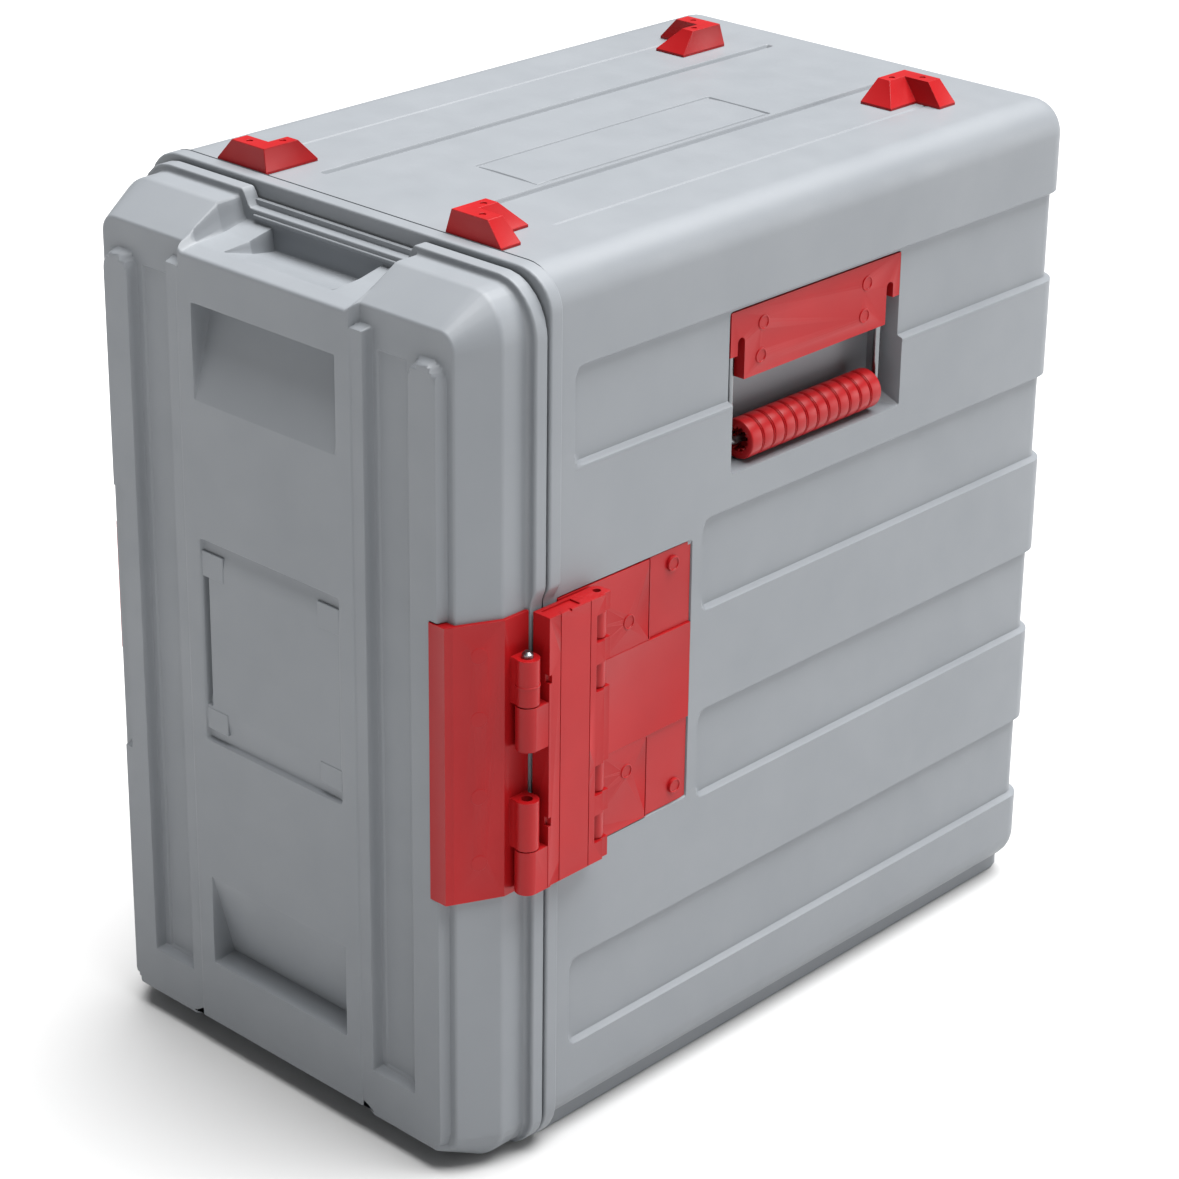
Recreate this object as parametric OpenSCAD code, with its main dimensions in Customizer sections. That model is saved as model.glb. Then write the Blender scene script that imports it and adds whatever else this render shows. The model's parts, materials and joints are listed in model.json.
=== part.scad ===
// Front-loading insulated carrier for gastronorm pans: a double-walled foamed body, a thick lift-off door
// on a double-jointed side hinge, a draw latch on the other side, two fold-out wire handles and four
// stacking lugs.
// Millimetres. Origin at the centre of the underside, door towards -Y, hinge on +X, latch on -X, +Z up.
// Lengths along the depth are counted from the front rim's face, and at_rim() puts that face at its place.

/* [Body] */
// Width over the side walls
body_w = 414; // [410:1:420]
// Depth from the front rim's face to the back wall
body_d = 612; // [604:1:624]
// Height of the top face above the floor
body_h = 706; // [700:1:716]
// Height of the side walls' lower edge above the floor
side_z = 12; // [10:1:14]
// Thickness of the outer shell
wall = 3; // [2.5:0.1:3.2]
// Depth of the shallow bands round the sides and back
band_depth = 4; // [3:0.5:4.5]
// Height of one shallow band
band_h = 74; // [60:1:80]
// Distance between the bands
band_pitch = 159; // [155:1:160]

/* [Cavity] */
// Inside width of the food compartment
cavity_w = 330; // [328:1:331]
// Depth of the food compartment behind the rim's face
cavity_d = 565; // [560:1:566]
// Thickness of the inner liner
liner_t = 2.4; // [2:0.1:2.6]
// Pairs of pan runners
runner_pairs = 12; // [6:1:12]

/* [Door] */
// Width over the door's flange
flange_w = 422; // [420:1:424]
// Distance from the rim's face to the door's raised panels
door_t = 77; // [76:1:80]
// Depth that the door's plug reaches into the compartment
plug_d = 24; // [18:1:26]
// Width of the door's plug
plug_w = 320; // [316:1:321]
// Gap between the closed door's flange and the rim
door_gap = 1.5; // [1:0.1:2]

/* [Hinge and latch] */
// Radius of the hinge's rear pin
rear_pin_r = 3; // [2.5:0.1:3.5]
// Radius of the two lift-off pins at the front
front_pin_r = 4.2; // [3.8:0.1:4.5]
// Radius of the latch pins
latch_pin_r = 2.5; // [2:0.1:3]

/* [Handles] */
// Diameter of the bail's wire
wire_d = 6; // [5:0.5:6.5]
// Diameter of the grip
grip_d = 32; // [28:1:34]
// Distance between the bail's two legs
bail_w = 175; // [174:1:176]

/* [Hidden] */
$fn = 48;

red = "#C8202A";
grey = "#8E9497";
pale_grey = "#A9AEB1";
steel = "#B8BCC0";
foam = "#E8D9A8";

side_x = body_w / 2;
fit = 0.05;                 // radial clearance of a pin in its bore
slack = 0.3;                // clearance between parts that pass each other
foam_gap = 0.2;
over = 1;                   // how far a cutter reaches past the face that it cuts
head_r = 5.5;               // the fittings' rivets
head_t = 2;
shank_r = 2.5;
boss_r = 4;                 // the room that the foam leaves round a rivet

// Rim and body
rim_x = 212;                // half width over the rim
rim_t = 12;                 // depth of the rim
rim_z = [3, body_h + 1];
rim_r = 32;
body_r = 26;                // radius of the top's side edges
back_r = 22;                // radius of the upright back edges
hollow_in = wall + band_depth;
band_front = 32;            // where the bands start behind the rim's face
band_z0 = 79;
plinth_in = 16;             // how far the plinth stands in from the side walls
plinth_y0 = 8;
plinth_r = 14;
ring_x = 183;               // half width of the front opening in the outer shell
ring_z = [42, 680];
ring_r = 20;
cavity_z = [60, 662];
cavity_r = 8;
runner_out = 11;
runner_h = 6;
runner_y = [34, cavity_d - 3];
runner_z0 = 88;
runner_pitch = 47;
groove_x = 70;              // the two grooves along the top
groove_w = 5;
groove_depth = 2.5;
groove_end = 46;
label_x = [-2, 62];         // outer edge of the blank label's frame on the top
label_y = [140, 400];
label_line = 2;
label_depth = 0.5;

// Door
flange_t = 11.5;
flange_z = [3, 703];
flange_y = -door_gap - flange_t;
face_y = -door_t + 8;       // the door's lower front face
door_x = 203;               // half width of the door's sides
fold_x = 187;               // half width of its front face inside the chamfers
fold_y = -37;
bevel_y = face_y + 24;      // where the bevels of the front face's top and foot begin
block_z = [4, 697];         // lower and upper face of the door's block
front_z = [12, 680];        // lower and upper edge of its front face inside the bevels
block_r = 30;
flange_r = 31;
notch_z = 680;              // floor of the top notch at the flange
notch_front_z = 671;
notch_x = 90;
notch_flare = 3;            // how much wider the notch is at its top
dip_low = 691;              // floor of the dip in the flange's upper edge
dip_slope = 8;
finger_x = 57;              // half width of the finger pocket behind the notch's floor
finger_y = -61;
finger_z = [656, 674];
foot_x = 100;               // half width over which the underside is raised
foot_z = 9;
panel_x = 106;              // half width of the centre panel
rib_x = [149, 178];         // the raised ribs beside it
rib_z = [20, 652];
panel_z = [13, 668];
channel_z = 62;
pocket_x = 76;
upper_pocket_z = [558, 633];
lower_pocket_z = [80, 157];
pocket_depth = 20;
card_z = [279, 446];
card_depth = 2.5;
plug_z = [65, 657];
inner_x = 189.5;            // half width of the door's inner shell
inner_z = [30, 684];
inner_r = 20;
inner_t = 3;                // depth of the seat that takes the inner shell
plug_wall = 2.4;
plug_r = 10;
seal_x = [3, 15];           // how far the seal's edges stand out from the plug
seal_r = [11, 22];

// Hinge, counted from the rim's face
rear_pin = [215.5, 46];
front_pin = [215.5, -24.6];
fitting_z = [237, 459];     // height of the brackets on the door
plate_z = [245, 459];
plate_y = [14, 158];
plate_face = side_x + 0.5;
plate_t = 5.5;
plate_low_y = 113;          // behind this the plate's face is lower
plate_low = 0.8;
tongue_y0 = 63;             // the tongue across the middle stands a little higher
tongue_z = [314, 393];
tongue_up = 0.4;
plate_hole = 20;
link_z = [242, 458];
link_x = [208.4, 225];
link_y = [-12, 53.4];
link_knuckles = [[240.6, 275.8], [357, 392]];
door_knuckles = [[276.8, 316], [393, 429]];
body_knuckles = [[259, 280.3], [298.3, 321.5], [383.3, 403.7], [422.8, 443.2]];
knuckle_r = 9;
rear_knuckle_r = 7.2;
pin_seat = 4;               // height of the lift-off pins' feet in the link's knuckles
pin_top = [-10, 3];         // how far each pin ends above the door's knuckle
pin_tip = 1.8;
dip_x = 206.6;              // where the rim and the door's flange are cut back for the hinge and latch
dip_z = [plate_z[0] - 9, plate_z[1] + 9];
plate_marks = [[90, 292], [90, 415.5], [145, 259], [138, 447]];
bracket_marks = [268, 322, 384, 434];
bracket_t = 3;
bracket_x0 = 170;
bracket_shank = 14;

// Latch, on the -X side, drawn on +X and mirrored
lever_pin = [215.5, 40];
hook_pin = [217, 54];
lever_z = [305, 395];
hook_arm_z = [[295, 304], [396, 405]];
latch_boss_z = [334.5, 365.5];
latch_boss_r = 6.8;
lever_r = 6.4;
lever_x = [209.1, 221.9];
lever_len = 66;
finger_tab = [[212, 104], [11, 16]];    // corner and size of the lever's finger tab
arm_r = 5.5;                // the draw hook's arms
arm_x = [215, 221.5];
hook_bar_y = [-42, -26];
ridge_x = 214;              // the keeper's ridge on the door
ridge_y = [-34, -28];

// Handles
handle_y = 301;
handle_half = 100;
handle_z = [500, 626];
handle_depth = 35.5;
handle_step_z = 576;        // the recess is shallower above this height, behind the cover plate
handle_step = 13;
pocket_wall = 2.2;
bail_x = 192;
bail_z = 597;
grip_z = 517;
grip_half = 77;
wire_r = wire_d / 2;
bend_r = 8;
end_bend_r = 4;
plate_top = handle_z[1] - slack;
plate_back = side_x - handle_depth + handle_step + slack;
slot_z = 600;
slot_in = 12;               // from the plate's ends to the middle of its slots
slot_r = 4;
ear_w = 8;
ear_z = 590.5;
main_in = 16;               // how far the plate's lower part stands in from its ends
main_z = 570;
cover_t = 3;
lip_t = 14;
grip_ribs = 12;
rib_out = 1.6;
rib_gap = 1.5;              // from a rib to the end of its share of the grip
grip_socket_r = 10;
grip_socket = 9;
handle_marks = [[238, 610], [236, 584], [360, 610], [358, 584]];

// Stacking lugs: where their outer corners stand, and the L's arms
lug_h = 19;
lug_x = 95;
lug_y = [14, 530];
lug_len = [55, 52];
lug_arm = 20;
lug_fit = 2;                // clearance round a lug in the pocket above it
lug_slope = [4, 15];        // how far the outer and inner ends lean in
lug_lean = [2, 3, 16];      // the same along the depth: outer, inner, inner of the long arm
lug_marks = [[lug_x + 28, 9], [lug_x + 11, 27]];

// ---------- shared shapes ----------

module at_rim() {
  translate([0, -body_d / 2, 0]) children();
}

module rounded_rect(x0, x1, y0, y1, r) {
  translate([x0 + r, y0]) square([x1 - x0 - 2 * r, y1 - y0]);
  translate([x0, y0 + r]) square([x1 - x0, y1 - y0 - 2 * r]);
  for (x = [x0 + r, x1 - r], y = [y0 + r, y1 - r]) translate([x, y]) circle(r);
}

// A flat outline in X and Z, from y0 back to y1
module slab(y0, y1) {
  translate([0, y1, 0]) rotate([90, 0, 0]) linear_extrude(y1 - y0) children();
}

// An outline in Y and Z, from x0 to x1
module across(x0, x1) {
  translate([x0, 0, 0]) rotate([90, 0, 90]) linear_extrude(x1 - x0) children();
}

// An outline in X and Y, from z0 up to z1
module upright(z0, z1) {
  translate([0, 0, z0]) linear_extrude(z1 - z0) children();
}

module box(x, y, z) {
  translate([x[0], y[0], z[0]]) cube([x[1] - x[0], y[1] - y[0], z[1] - z[0]]);
}

module along_x(x0, x1, y, z, r) {
  translate([x0, y, z]) rotate([0, 90, 0]) cylinder(h = x1 - x0, r = r);
}

module both_sides() {
  children();
  mirror([1, 0, 0]) children();
}

// ---------- body ----------

module body_block(inset) {
  intersection() {
    slab(inset, body_d - inset)
      rounded_rect(-side_x + inset, side_x - inset, side_z + inset, body_h - inset, body_r - inset);
    upright(0, body_h + 1)
      rounded_rect(-side_x + inset, side_x - inset, -60, body_d - inset, back_r - inset);
  }
}

module band_cutter(z0) {
  difference() {
    box([-side_x - 1, side_x + 1], [band_front, body_d + 1], [z0, z0 + band_h]);
    body_block(band_depth);
  }
}

// The plate recess in a side wall, grown by g
module plate_recess(g) {
  box([plate_face - plate_t - g, side_x + 10], [plate_y[0] - 0.5 - g, plate_y[1] + 0.5 + g],
      [plate_z[0] - 0.5 - g, plate_z[1] + 0.5 + g]);
}

// The handle recess, grown by g
module handle_recess(g) {
  y = [handle_y - handle_half - g, handle_y + handle_half + g];
  box([side_x - handle_depth - g, side_x + 1], y, [handle_z[0] - g, handle_step_z + g]);
  box([side_x - handle_depth + handle_step - g, side_x + 1], y, [handle_z[0] - g, handle_z[1] + g]);
}

module lug_at(back) {
  if (back) translate([0, lug_y[1], 0]) mirror([0, 1, 0]) children();
  else translate([0, lug_y[0], 0]) children();
}

// L-shaped pockets in the underside that take the lugs of the carrier below
module lug_pockets(g) {
  top = lug_h + 1 + g;
  out = lug_fit + g;
  both_sides() for (back = [false, true]) lug_at(back) {
    box([lug_x - out, lug_x + lug_len[0] + out], [-out, lug_arm + out], [-over, top]);
    box([lug_x - out, lug_x + lug_arm + out], [-out, lug_len[1] + out], [-over, top]);
  }
}

module plinth(z0, z1, g) {
  upright(z0, z1)
    rounded_rect(-side_x + plinth_in + g, side_x - plinth_in - g, plinth_y0 + g, body_d - plinth_in - g,
      plinth_r - g);
}

// The foam space inside the outer shell, made smaller by g
module foam_space(g) {
  difference() {
    union() {
      body_block(hollow_in + g);
      plinth(wall + g, side_z + hollow_in + 1, wall + g);
    }
    both_sides() {
      handle_recess(pocket_wall + g);
      plate_recess(wall + g);
    }
    lug_pockets(wall + g);
  }
}

module label_frame() {
  line = label_line;
  difference() {
    box(label_x, label_y, [body_h - label_depth, body_h + over]);
    box([label_x[0] + line, label_x[1] - line], [label_y[0] + line, label_y[1] - line],
        [body_h - 2 * label_depth, body_h + 2 * over]);
  }
}

module body_outer_shell() {
  color(grey) at_rim() difference() {
    union() {
      body_block(0);
      slab(0, rim_t) rounded_rect(-rim_x, rim_x, rim_z[0], rim_z[1], rim_r);
      plinth(0, side_z + wall, 0);
    }
    for (i = [0:3]) band_cutter(band_z0 + i * band_pitch);
    foam_space(0);
    lug_pockets(0);
    slab(-over, hollow_in + 0.1) rounded_rect(-ring_x, ring_x, ring_z[0], ring_z[1], ring_r);
    both_sides() {
      handle_recess(0);
      plate_recess(0);
      box([dip_x, rim_x + 1], [-1, rim_t + 3], dip_z);
      for (m = plate_marks) along_x(plate_face - 16, side_x, m[0], m[1], shank_r + fit);
      for (m = handle_marks) along_x(side_x - 33, side_x, m[0], m[1], shank_r + fit);
    }
    both_sides() {
      box([groove_x - groove_w / 2, groove_x + groove_w / 2], [groove_end, body_d - groove_end],
          [body_h - groove_depth, body_h + over]);
    }
    label_frame();
  }
}

module liner_block(grow) {
  slab(-1, cavity_d + grow)
    rounded_rect(-cavity_w / 2 - grow, cavity_w / 2 + grow, cavity_z[0] - grow, cavity_z[1] + grow,
      cavity_r + grow);
}

// The front opening's outline, with the foam's gap all round
module front_ring() {
  rounded_rect(-ring_x + foam_gap, ring_x - foam_gap, ring_z[0] + foam_gap, ring_z[1] - foam_gap, ring_r);
}

module body_inner_liner() {
  color(pale_grey) at_rim() {
    difference() {
      union() {
        intersection() {
          liner_block(liner_t);
          box([-200, 200], [0, body_d], [0, body_h]);
        }
        slab(0, liner_t) front_ring();
      }
      liner_block(0);
    }
    both_sides() for (i = [0:runner_pairs - 1]) {
      box([cavity_w / 2 - runner_out, cavity_w / 2 + liner_t / 2], runner_y,
          [runner_z0 + i * runner_pitch, runner_z0 + i * runner_pitch + runner_h]);
    }
  }
}

module body_insulation() {
  color(foam) at_rim() difference() {
    union() {
      foam_space(foam_gap);
      slab(liner_t + foam_gap, hollow_in + 1) front_ring();
    }
    liner_block(liner_t + foam_gap);
    both_sides() {
      for (m = plate_marks) along_x(plate_face - 17, side_x, m[0], m[1], boss_r);
      for (m = handle_marks) along_x(side_x - 34, side_x, m[0], m[1], boss_r);
    }
  }
}

// ---------- hinge ----------

// A rivet: flush head in its plate and a shank into the wall behind
module rivet(y, z, face, shank) {
  along_x(face - head_t, face, y, z, head_r);
  along_x(face - shank, face - head_t, y, z, shank_r);
}

module rivet_hole(y, z, face, shank) {
  along_x(face - head_t, face + 5, y, z, head_r + fit);
  along_x(face - shank, face, y, z, shank_r + fit);
}

module plate_blank() {
  difference() {
    union() {
      box([plate_face - plate_t, plate_face - plate_low], plate_y, plate_z);
      box([plate_face - plate_t, plate_face], [plate_y[0], plate_low_y], plate_z);
      box([plate_face - plate_t, plate_face + tongue_up], [tongue_y0, plate_y[1]], tongue_z);
    }
    for (m = plate_marks) rivet_hole(m[0], m[1], plate_face - plate_low, plate_hole);
  }
}

module plate_rivets() {
  for (m = plate_marks) rivet(m[0], m[1], plate_face - plate_low, plate_hole / 2);
}

module knuckle(centre, r, z, plate_side_x, half) {
  upright(z[0], z[1]) {
    translate(centre) circle(r);
    translate([plate_side_x, centre[1] - half]) square([centre[0] - plate_side_x, 2 * half]);
  }
}

// An upright bore through all the knuckles on a pin
module bore(centre, r) {
  translate([centre[0], centre[1], link_z[0] - 20]) cylinder(h = link_z[1] - link_z[0] + 40, r = r);
}

module hinge_body_plate() {
  color(red) at_rim() difference() {
    union() {
      plate_blank();
      for (z = body_knuckles) knuckle(rear_pin, rear_knuckle_r, z, plate_face - 2, 6.5);
    }
    bore(rear_pin, rear_pin_r + fit);
  }
}

module hinge_plate_rivets() {
  color(red) at_rim() plate_rivets();
}

module hinge_rear_pin() {
  color(steel) at_rim() translate([rear_pin[0], rear_pin[1], link_z[0] + 3]) {
    cylinder(h = link_z[1] - link_z[0] - 7, r = rear_pin_r);
    translate([0, 0, link_z[1] - link_z[0] - 7]) cylinder(h = 1.2, r1 = rear_pin_r, r2 = rear_pin_r - 1.2);
  }
}

module hinge_link() {
  color(red) at_rim() difference() {
    union() {
      upright(link_z[0], link_z[1]) {
        translate([link_x[0], link_y[0]]) square([link_x[1] - link_x[0], rear_pin[1] - link_y[0]]);
        translate(rear_pin) circle(link_y[1] - rear_pin[1]);
        translate(rear_pin) square([link_x[1] - rear_pin[0] - 2, link_y[1] - rear_pin[1]]);
      }
      for (z = link_knuckles) upright(z[0], z[1]) {
        translate(front_pin) circle(knuckle_r);
        translate([link_x[0], front_pin[1]]) square([front_pin[0] + knuckle_r - link_x[0], 16]);
      }
    }
    for (z = body_knuckles) {
      box([link_x[0] - 5, link_x[1] + 1], [rear_pin[1] - 9, link_y[1] + 1], [z[0] - slack, z[1] + slack]);
    }
    bore(rear_pin, rear_pin_r + fit);
    for (z = link_knuckles) {
      translate([front_pin[0], front_pin[1], z[0] + pin_seat]) cylinder(h = 60, r = front_pin_r);
    }
  }
}

module lift_off_pin(z0, z1) {
  translate([front_pin[0], front_pin[1], z0]) {
    cylinder(h = z1 - z0, r = front_pin_r);
    translate([0, 0, z1 - z0]) cylinder(h = pin_tip, r1 = front_pin_r, r2 = front_pin_r - pin_tip);
  }
}

module hinge_lift_off_pins() {
  color(steel) at_rim() {
    for (i = [0, 1]) lift_off_pin(link_knuckles[i][0] + pin_seat, door_knuckles[i][1] + pin_top[i]);
  }
}

// ---------- latch ----------

module latch_body_plate() {
  color(red) at_rim() mirror([1, 0, 0]) difference() {
    union() {
      plate_blank();
      knuckle(lever_pin, latch_boss_r, latch_boss_z, plate_face - 2, latch_boss_r - 0.6);
    }
    bore(lever_pin, latch_pin_r + fit);
  }
}

module latch_plate_rivets() {
  color(red) at_rim() mirror([1, 0, 0]) plate_rivets();
}

module latch_lever() {
  color(red) at_rim() mirror([1, 0, 0]) difference() {
    upright(lever_z[0], lever_z[1]) {
      for (along = [0, lever_len]) translate(lever_pin + [0, along]) circle(lever_r);
      translate([lever_x[0], lever_pin[1]]) square([lever_x[1] - lever_x[0], lever_len]);
      translate(finger_tab[0]) square(finger_tab[1]);
    }
    box([200, 230], [30, lever_pin[1] + latch_boss_r + 1.4],
        [latch_boss_z[0] - slack, latch_boss_z[1] + slack]);
    bore(lever_pin, latch_pin_r + fit);
    bore(hook_pin, latch_pin_r + fit);
  }
}

module latch_lever_pin() {
  color(steel) at_rim() mirror([1, 0, 0]) translate([lever_pin[0], lever_pin[1], lever_z[0] + 0.5])
    cylinder(h = lever_z[1] - lever_z[0] - 1, r = latch_pin_r);
}

module latch_hook() {
  color(red) at_rim() mirror([1, 0, 0]) difference() {
    union() {
      for (z = hook_arm_z) upright(z[0], z[1]) {
        translate(hook_pin) circle(arm_r);
        translate([arm_x[0], ridge_y[0]]) square([arm_x[1] - arm_x[0], hook_pin[1] - ridge_y[0]]);
      }
      box([ridge_x + slack, arm_x[1]], hook_bar_y, [hook_arm_z[0][0], hook_arm_z[1][1]]);
    }
    bore(hook_pin, latch_pin_r + fit);
  }
}

module latch_hook_pin() {
  color(steel) at_rim() mirror([1, 0, 0]) translate([hook_pin[0], hook_pin[1], hook_arm_z[0][0] + 0.5])
    cylinder(h = hook_arm_z[1][1] - hook_arm_z[0][0] - 1, r = latch_pin_r);
}

// ---------- door ----------

module door_block(g) {
  intersection() {
    upright(0, body_h) polygon([
      [-door_x + g, 0], [-door_x + g, fold_y], [-fold_x + 0.6 * g, face_y + g],
      [fold_x - 0.6 * g, face_y + g], [door_x - g, fold_y], [door_x - g, 0]]);
    across(-door_x, door_x) polygon([
      [0, block_z[0] + g], [bevel_y, block_z[0] + g], [face_y + g, front_z[0] + g],
      [face_y + g, front_z[1] - g], [bevel_y, block_z[1] - g], [0, block_z[1] - g]]);
    slab(-door_t, -door_gap)
      rounded_rect(-door_x + g, door_x - g, block_z[0] - 1 + g, block_z[1] + 1 - g, block_r - g);
  }
}

// The raised centre panel, side ribs and foot of the door's face, made smaller by g
module raised_panels(g) {
  slab(-door_t + g, face_y + g + 1) {
    rounded_rect(-panel_x + g, panel_x - g, panel_z[0] + g, panel_z[1] - g, 3);
    rounded_rect(-rib_x[1] + g, rib_x[1] - g, panel_z[0] + g, channel_z - g, 16 - g);
    for (s = [0, 1]) mirror([s, 0]) {
      rounded_rect(rib_x[0] + g, rib_x[1] - g, rib_z[0] + g, rib_z[1] - g, 10 - g);
    }
  }
}

module top_notch() {
  top = notch_x + notch_flare;
  slab(-door_t - over, flange_y + 0.01) polygon([
    [-top, body_h], [-top, notch_z + 2], [-notch_x, 660],
    [notch_x, 660], [top, notch_z + 2], [top, body_h]]);
}

module notch_floor() {
  across(-notch_x - 10, notch_x + 10) polygon([
    [-door_t, 600], [-door_t, notch_front_z - 4], [-door_t + 3, notch_front_z],
    [flange_y, notch_z], [flange_y, 600]]);
}

module wedge_pocket(z, deep_top) {
  across(-pocket_x, pocket_x) polygon(deep_top
    ? [[-door_t - 1, z[0] - 2], [-door_t - 1, z[1]], [-door_t + pocket_depth, z[1]], [-door_t, z[0]]]
    : [[-door_t - 1, z[1] + 2], [-door_t - 1, z[0]], [-door_t + pocket_depth, z[0]], [-door_t, z[1]]]);
}

module finger_pocket() {
  back = flange_y - 0.5;
  across(-finger_x, finger_x)
    polygon([[finger_y, finger_z[1]], [back, finger_z[0]], [back, body_h], [finger_y, body_h]]);
}

// The step in the raised rib that a bracket sits in, grown by g
module bracket_step(g) {
  box([bracket_x0 - slack - g, rib_x[1] + 1], [-door_t - 1, face_y + g],
      [fitting_z[0] - slack - g, fitting_z[1] + slack + g]);
}

module door_outer_shell() {
  color(grey) at_rim() difference() {
    union() {
      difference() {
        union() {
          door_block(0);
          raised_panels(0);
        }
        top_notch();
        both_sides() bracket_step(0);
      }
      intersection() {
        notch_floor();
        slab(-door_t, 0) square([2 * notch_x + 14, 3 * body_h], center = true);
      }
      slab(flange_y, -door_gap)
        rounded_rect(-flange_w / 2, flange_w / 2, flange_z[0], flange_z[1], flange_r);
    }
    finger_pocket();
    wedge_pocket(upper_pocket_z, true);
    wedge_pocket(lower_pocket_z, false);
    slab(-door_t - 1, -door_t + card_depth) rounded_rect(-pocket_x, pocket_x, card_z[0], card_z[1], 3);
    slab(-door_t - over, over) polygon([
      [-notch_x, flange_z[1] + over], [-notch_x + dip_slope, dip_low],
      [notch_x - dip_slope, dip_low], [notch_x, flange_z[1] + over]]);
    box([-foot_x, foot_x], [-door_t - over, flange_y], [-over, foot_z]);
    both_sides() box([dip_x, flange_w], [-20, 1], dip_z);
    both_sides() for (z = bracket_marks) at_chamfer(z) along_x(-11.5, 1, 0, 0, shank_r + fit);
    door_hollow(0);
    slab(-door_gap - inner_t, over) inner_outline(0);
  }
}

// The foam space between the door's two shells
module door_hollow(g) {
  w = wall + g;
  difference() {
    intersection() {
      union() {
        door_block(w);
        raised_panels(w);
      }
      box([-300, 300], [-200, -door_gap - inner_t - g], [0, body_h]);
    }
    box([-notch_x - 10 - g, notch_x + 10 + g], [-200, 0], [650 - g, body_h]);
    for (z = [upper_pocket_z, lower_pocket_z]) {
      box([-pocket_x - w, pocket_x + w], [-200, -door_t + pocket_depth + w], [z[0] - w, z[1] + w]);
    }
    box([-pocket_x - w, pocket_x + w], [-200, -door_t + card_depth + w], [card_z[0] - w, card_z[1] + w]);
    both_sides() {
      bracket_step(w);
      for (z = bracket_marks) at_chamfer(z) along_x(-12.5 - g, 5, 0, 0, 5 + g);
    }
    box([-foot_x - w, foot_x + w], [-200, 0], [0, foot_z + w]);
  }
}

module inner_outline(g) {
  rounded_rect(-inner_x + g, inner_x - g, inner_z[0] + g, inner_z[1] - g, inner_r - g);
}

module plug_outline(g) {
  rounded_rect(-plug_w / 2 + g, plug_w / 2 - g, plug_z[0] + g, plug_z[1] - g, plug_r - g);
}

module door_inner_shell() {
  color(pale_grey) at_rim() difference() {
    union() {
      slab(-door_gap - inner_t + foam_gap, -door_gap) inner_outline(foam_gap);
      slab(-door_gap - 2, plug_d) plug_outline(0);
    }
    slab(-30, plug_d - plug_wall) plug_outline(plug_wall);
    seal_ring(0.1, -door_gap - 1.2);
  }
}

module door_insulation() {
  color(foam) at_rim() {
    door_hollow(foam_gap);
    slab(-door_gap - inner_t + foam_gap, plug_d - plug_wall - foam_gap) plug_outline(plug_wall + foam_gap);
    slab(-door_gap - inner_t - 2 * foam_gap, 0) plug_outline(plug_r - 1);
  }
}

module seal_outline(out, r) {
  rounded_rect(-plug_w / 2 - out, plug_w / 2 + out, plug_z[0] - out, plug_z[1] + out, r);
}

// The seal's ring from y0 back to just in front of the rim, wider by g
module seal_ring(g, y0) {
  slab(y0, -0.3) difference() {
    seal_outline(seal_x[1] + g, seal_r[1]);
    seal_outline(seal_x[0] - g, seal_r[0]);
  }
}

module door_seal() {
  color("#3A3D40") at_rim() seal_ring(0, -door_gap - 1.1);
}

// Puts its children square to the middle of the door's chamfer at height z, with the chamfer at x = 0
module at_chamfer(z) {
  translate([(door_x + fold_x) / 2, (fold_y + face_y) / 2, z])
    rotate([0, 0, -atan2(door_x - fold_x, fold_y - face_y)]) children();
}

module bracket_blank() {
  difference() {
    upright(fitting_z[0], fitting_z[1]) polygon([
      [bracket_x0, face_y], [bracket_x0, -door_t - 1], [fold_x - 1, -door_t - 1], [fold_x + 2, face_y - 3.5],
      [door_x + bracket_t, fold_y - 1], [door_x + bracket_t, flange_y - 1], [door_x, flange_y - 1],
      [door_x, fold_y], [fold_x, face_y]]);
    for (z = bracket_marks) at_chamfer(z) rivet_hole(0, 0, bracket_t, bracket_shank - 2);
  }
}

module door_hinge_bracket() {
  color(red) at_rim() difference() {
    union() {
      bracket_blank();
      for (z = door_knuckles) knuckle(front_pin, knuckle_r, z, door_x + 1, 8);
    }
    bore(front_pin, front_pin_r + fit);
  }
}

module door_latch_bracket() {
  color(red) at_rim() mirror([1, 0, 0]) {
    bracket_blank();
    box([door_x + 1, ridge_x], ridge_y, [hook_arm_z[0][0] - 2, hook_arm_z[1][1] + 2]);
  }
}

module door_bracket_rivets() {
  color(red) at_rim() both_sides() for (z = bracket_marks) {
    at_chamfer(z) rivet(0, 0, bracket_t, bracket_shank);
  }
}

// A thin plate in the card recess, with a raised tab at each corner
module card_holder() {
  x = pocket_x - 0.4;
  z = [card_z[0] + 0.4, card_z[1] - 0.4];
  color(grey) at_rim() {
    slab(-door_t + card_depth - 1.3, -door_t + card_depth) rounded_rect(-x, x, z[0], z[1], 3);
    both_sides() slab(-door_t - 1.1, -door_t + card_depth - 1) {
      rounded_rect(x - 16, x, z[0], z[0] + 13, 3);
      rounded_rect(x - 16, x, z[1] - 13, z[1], 3);
    }
  }
}

// ---------- handles ----------

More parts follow.
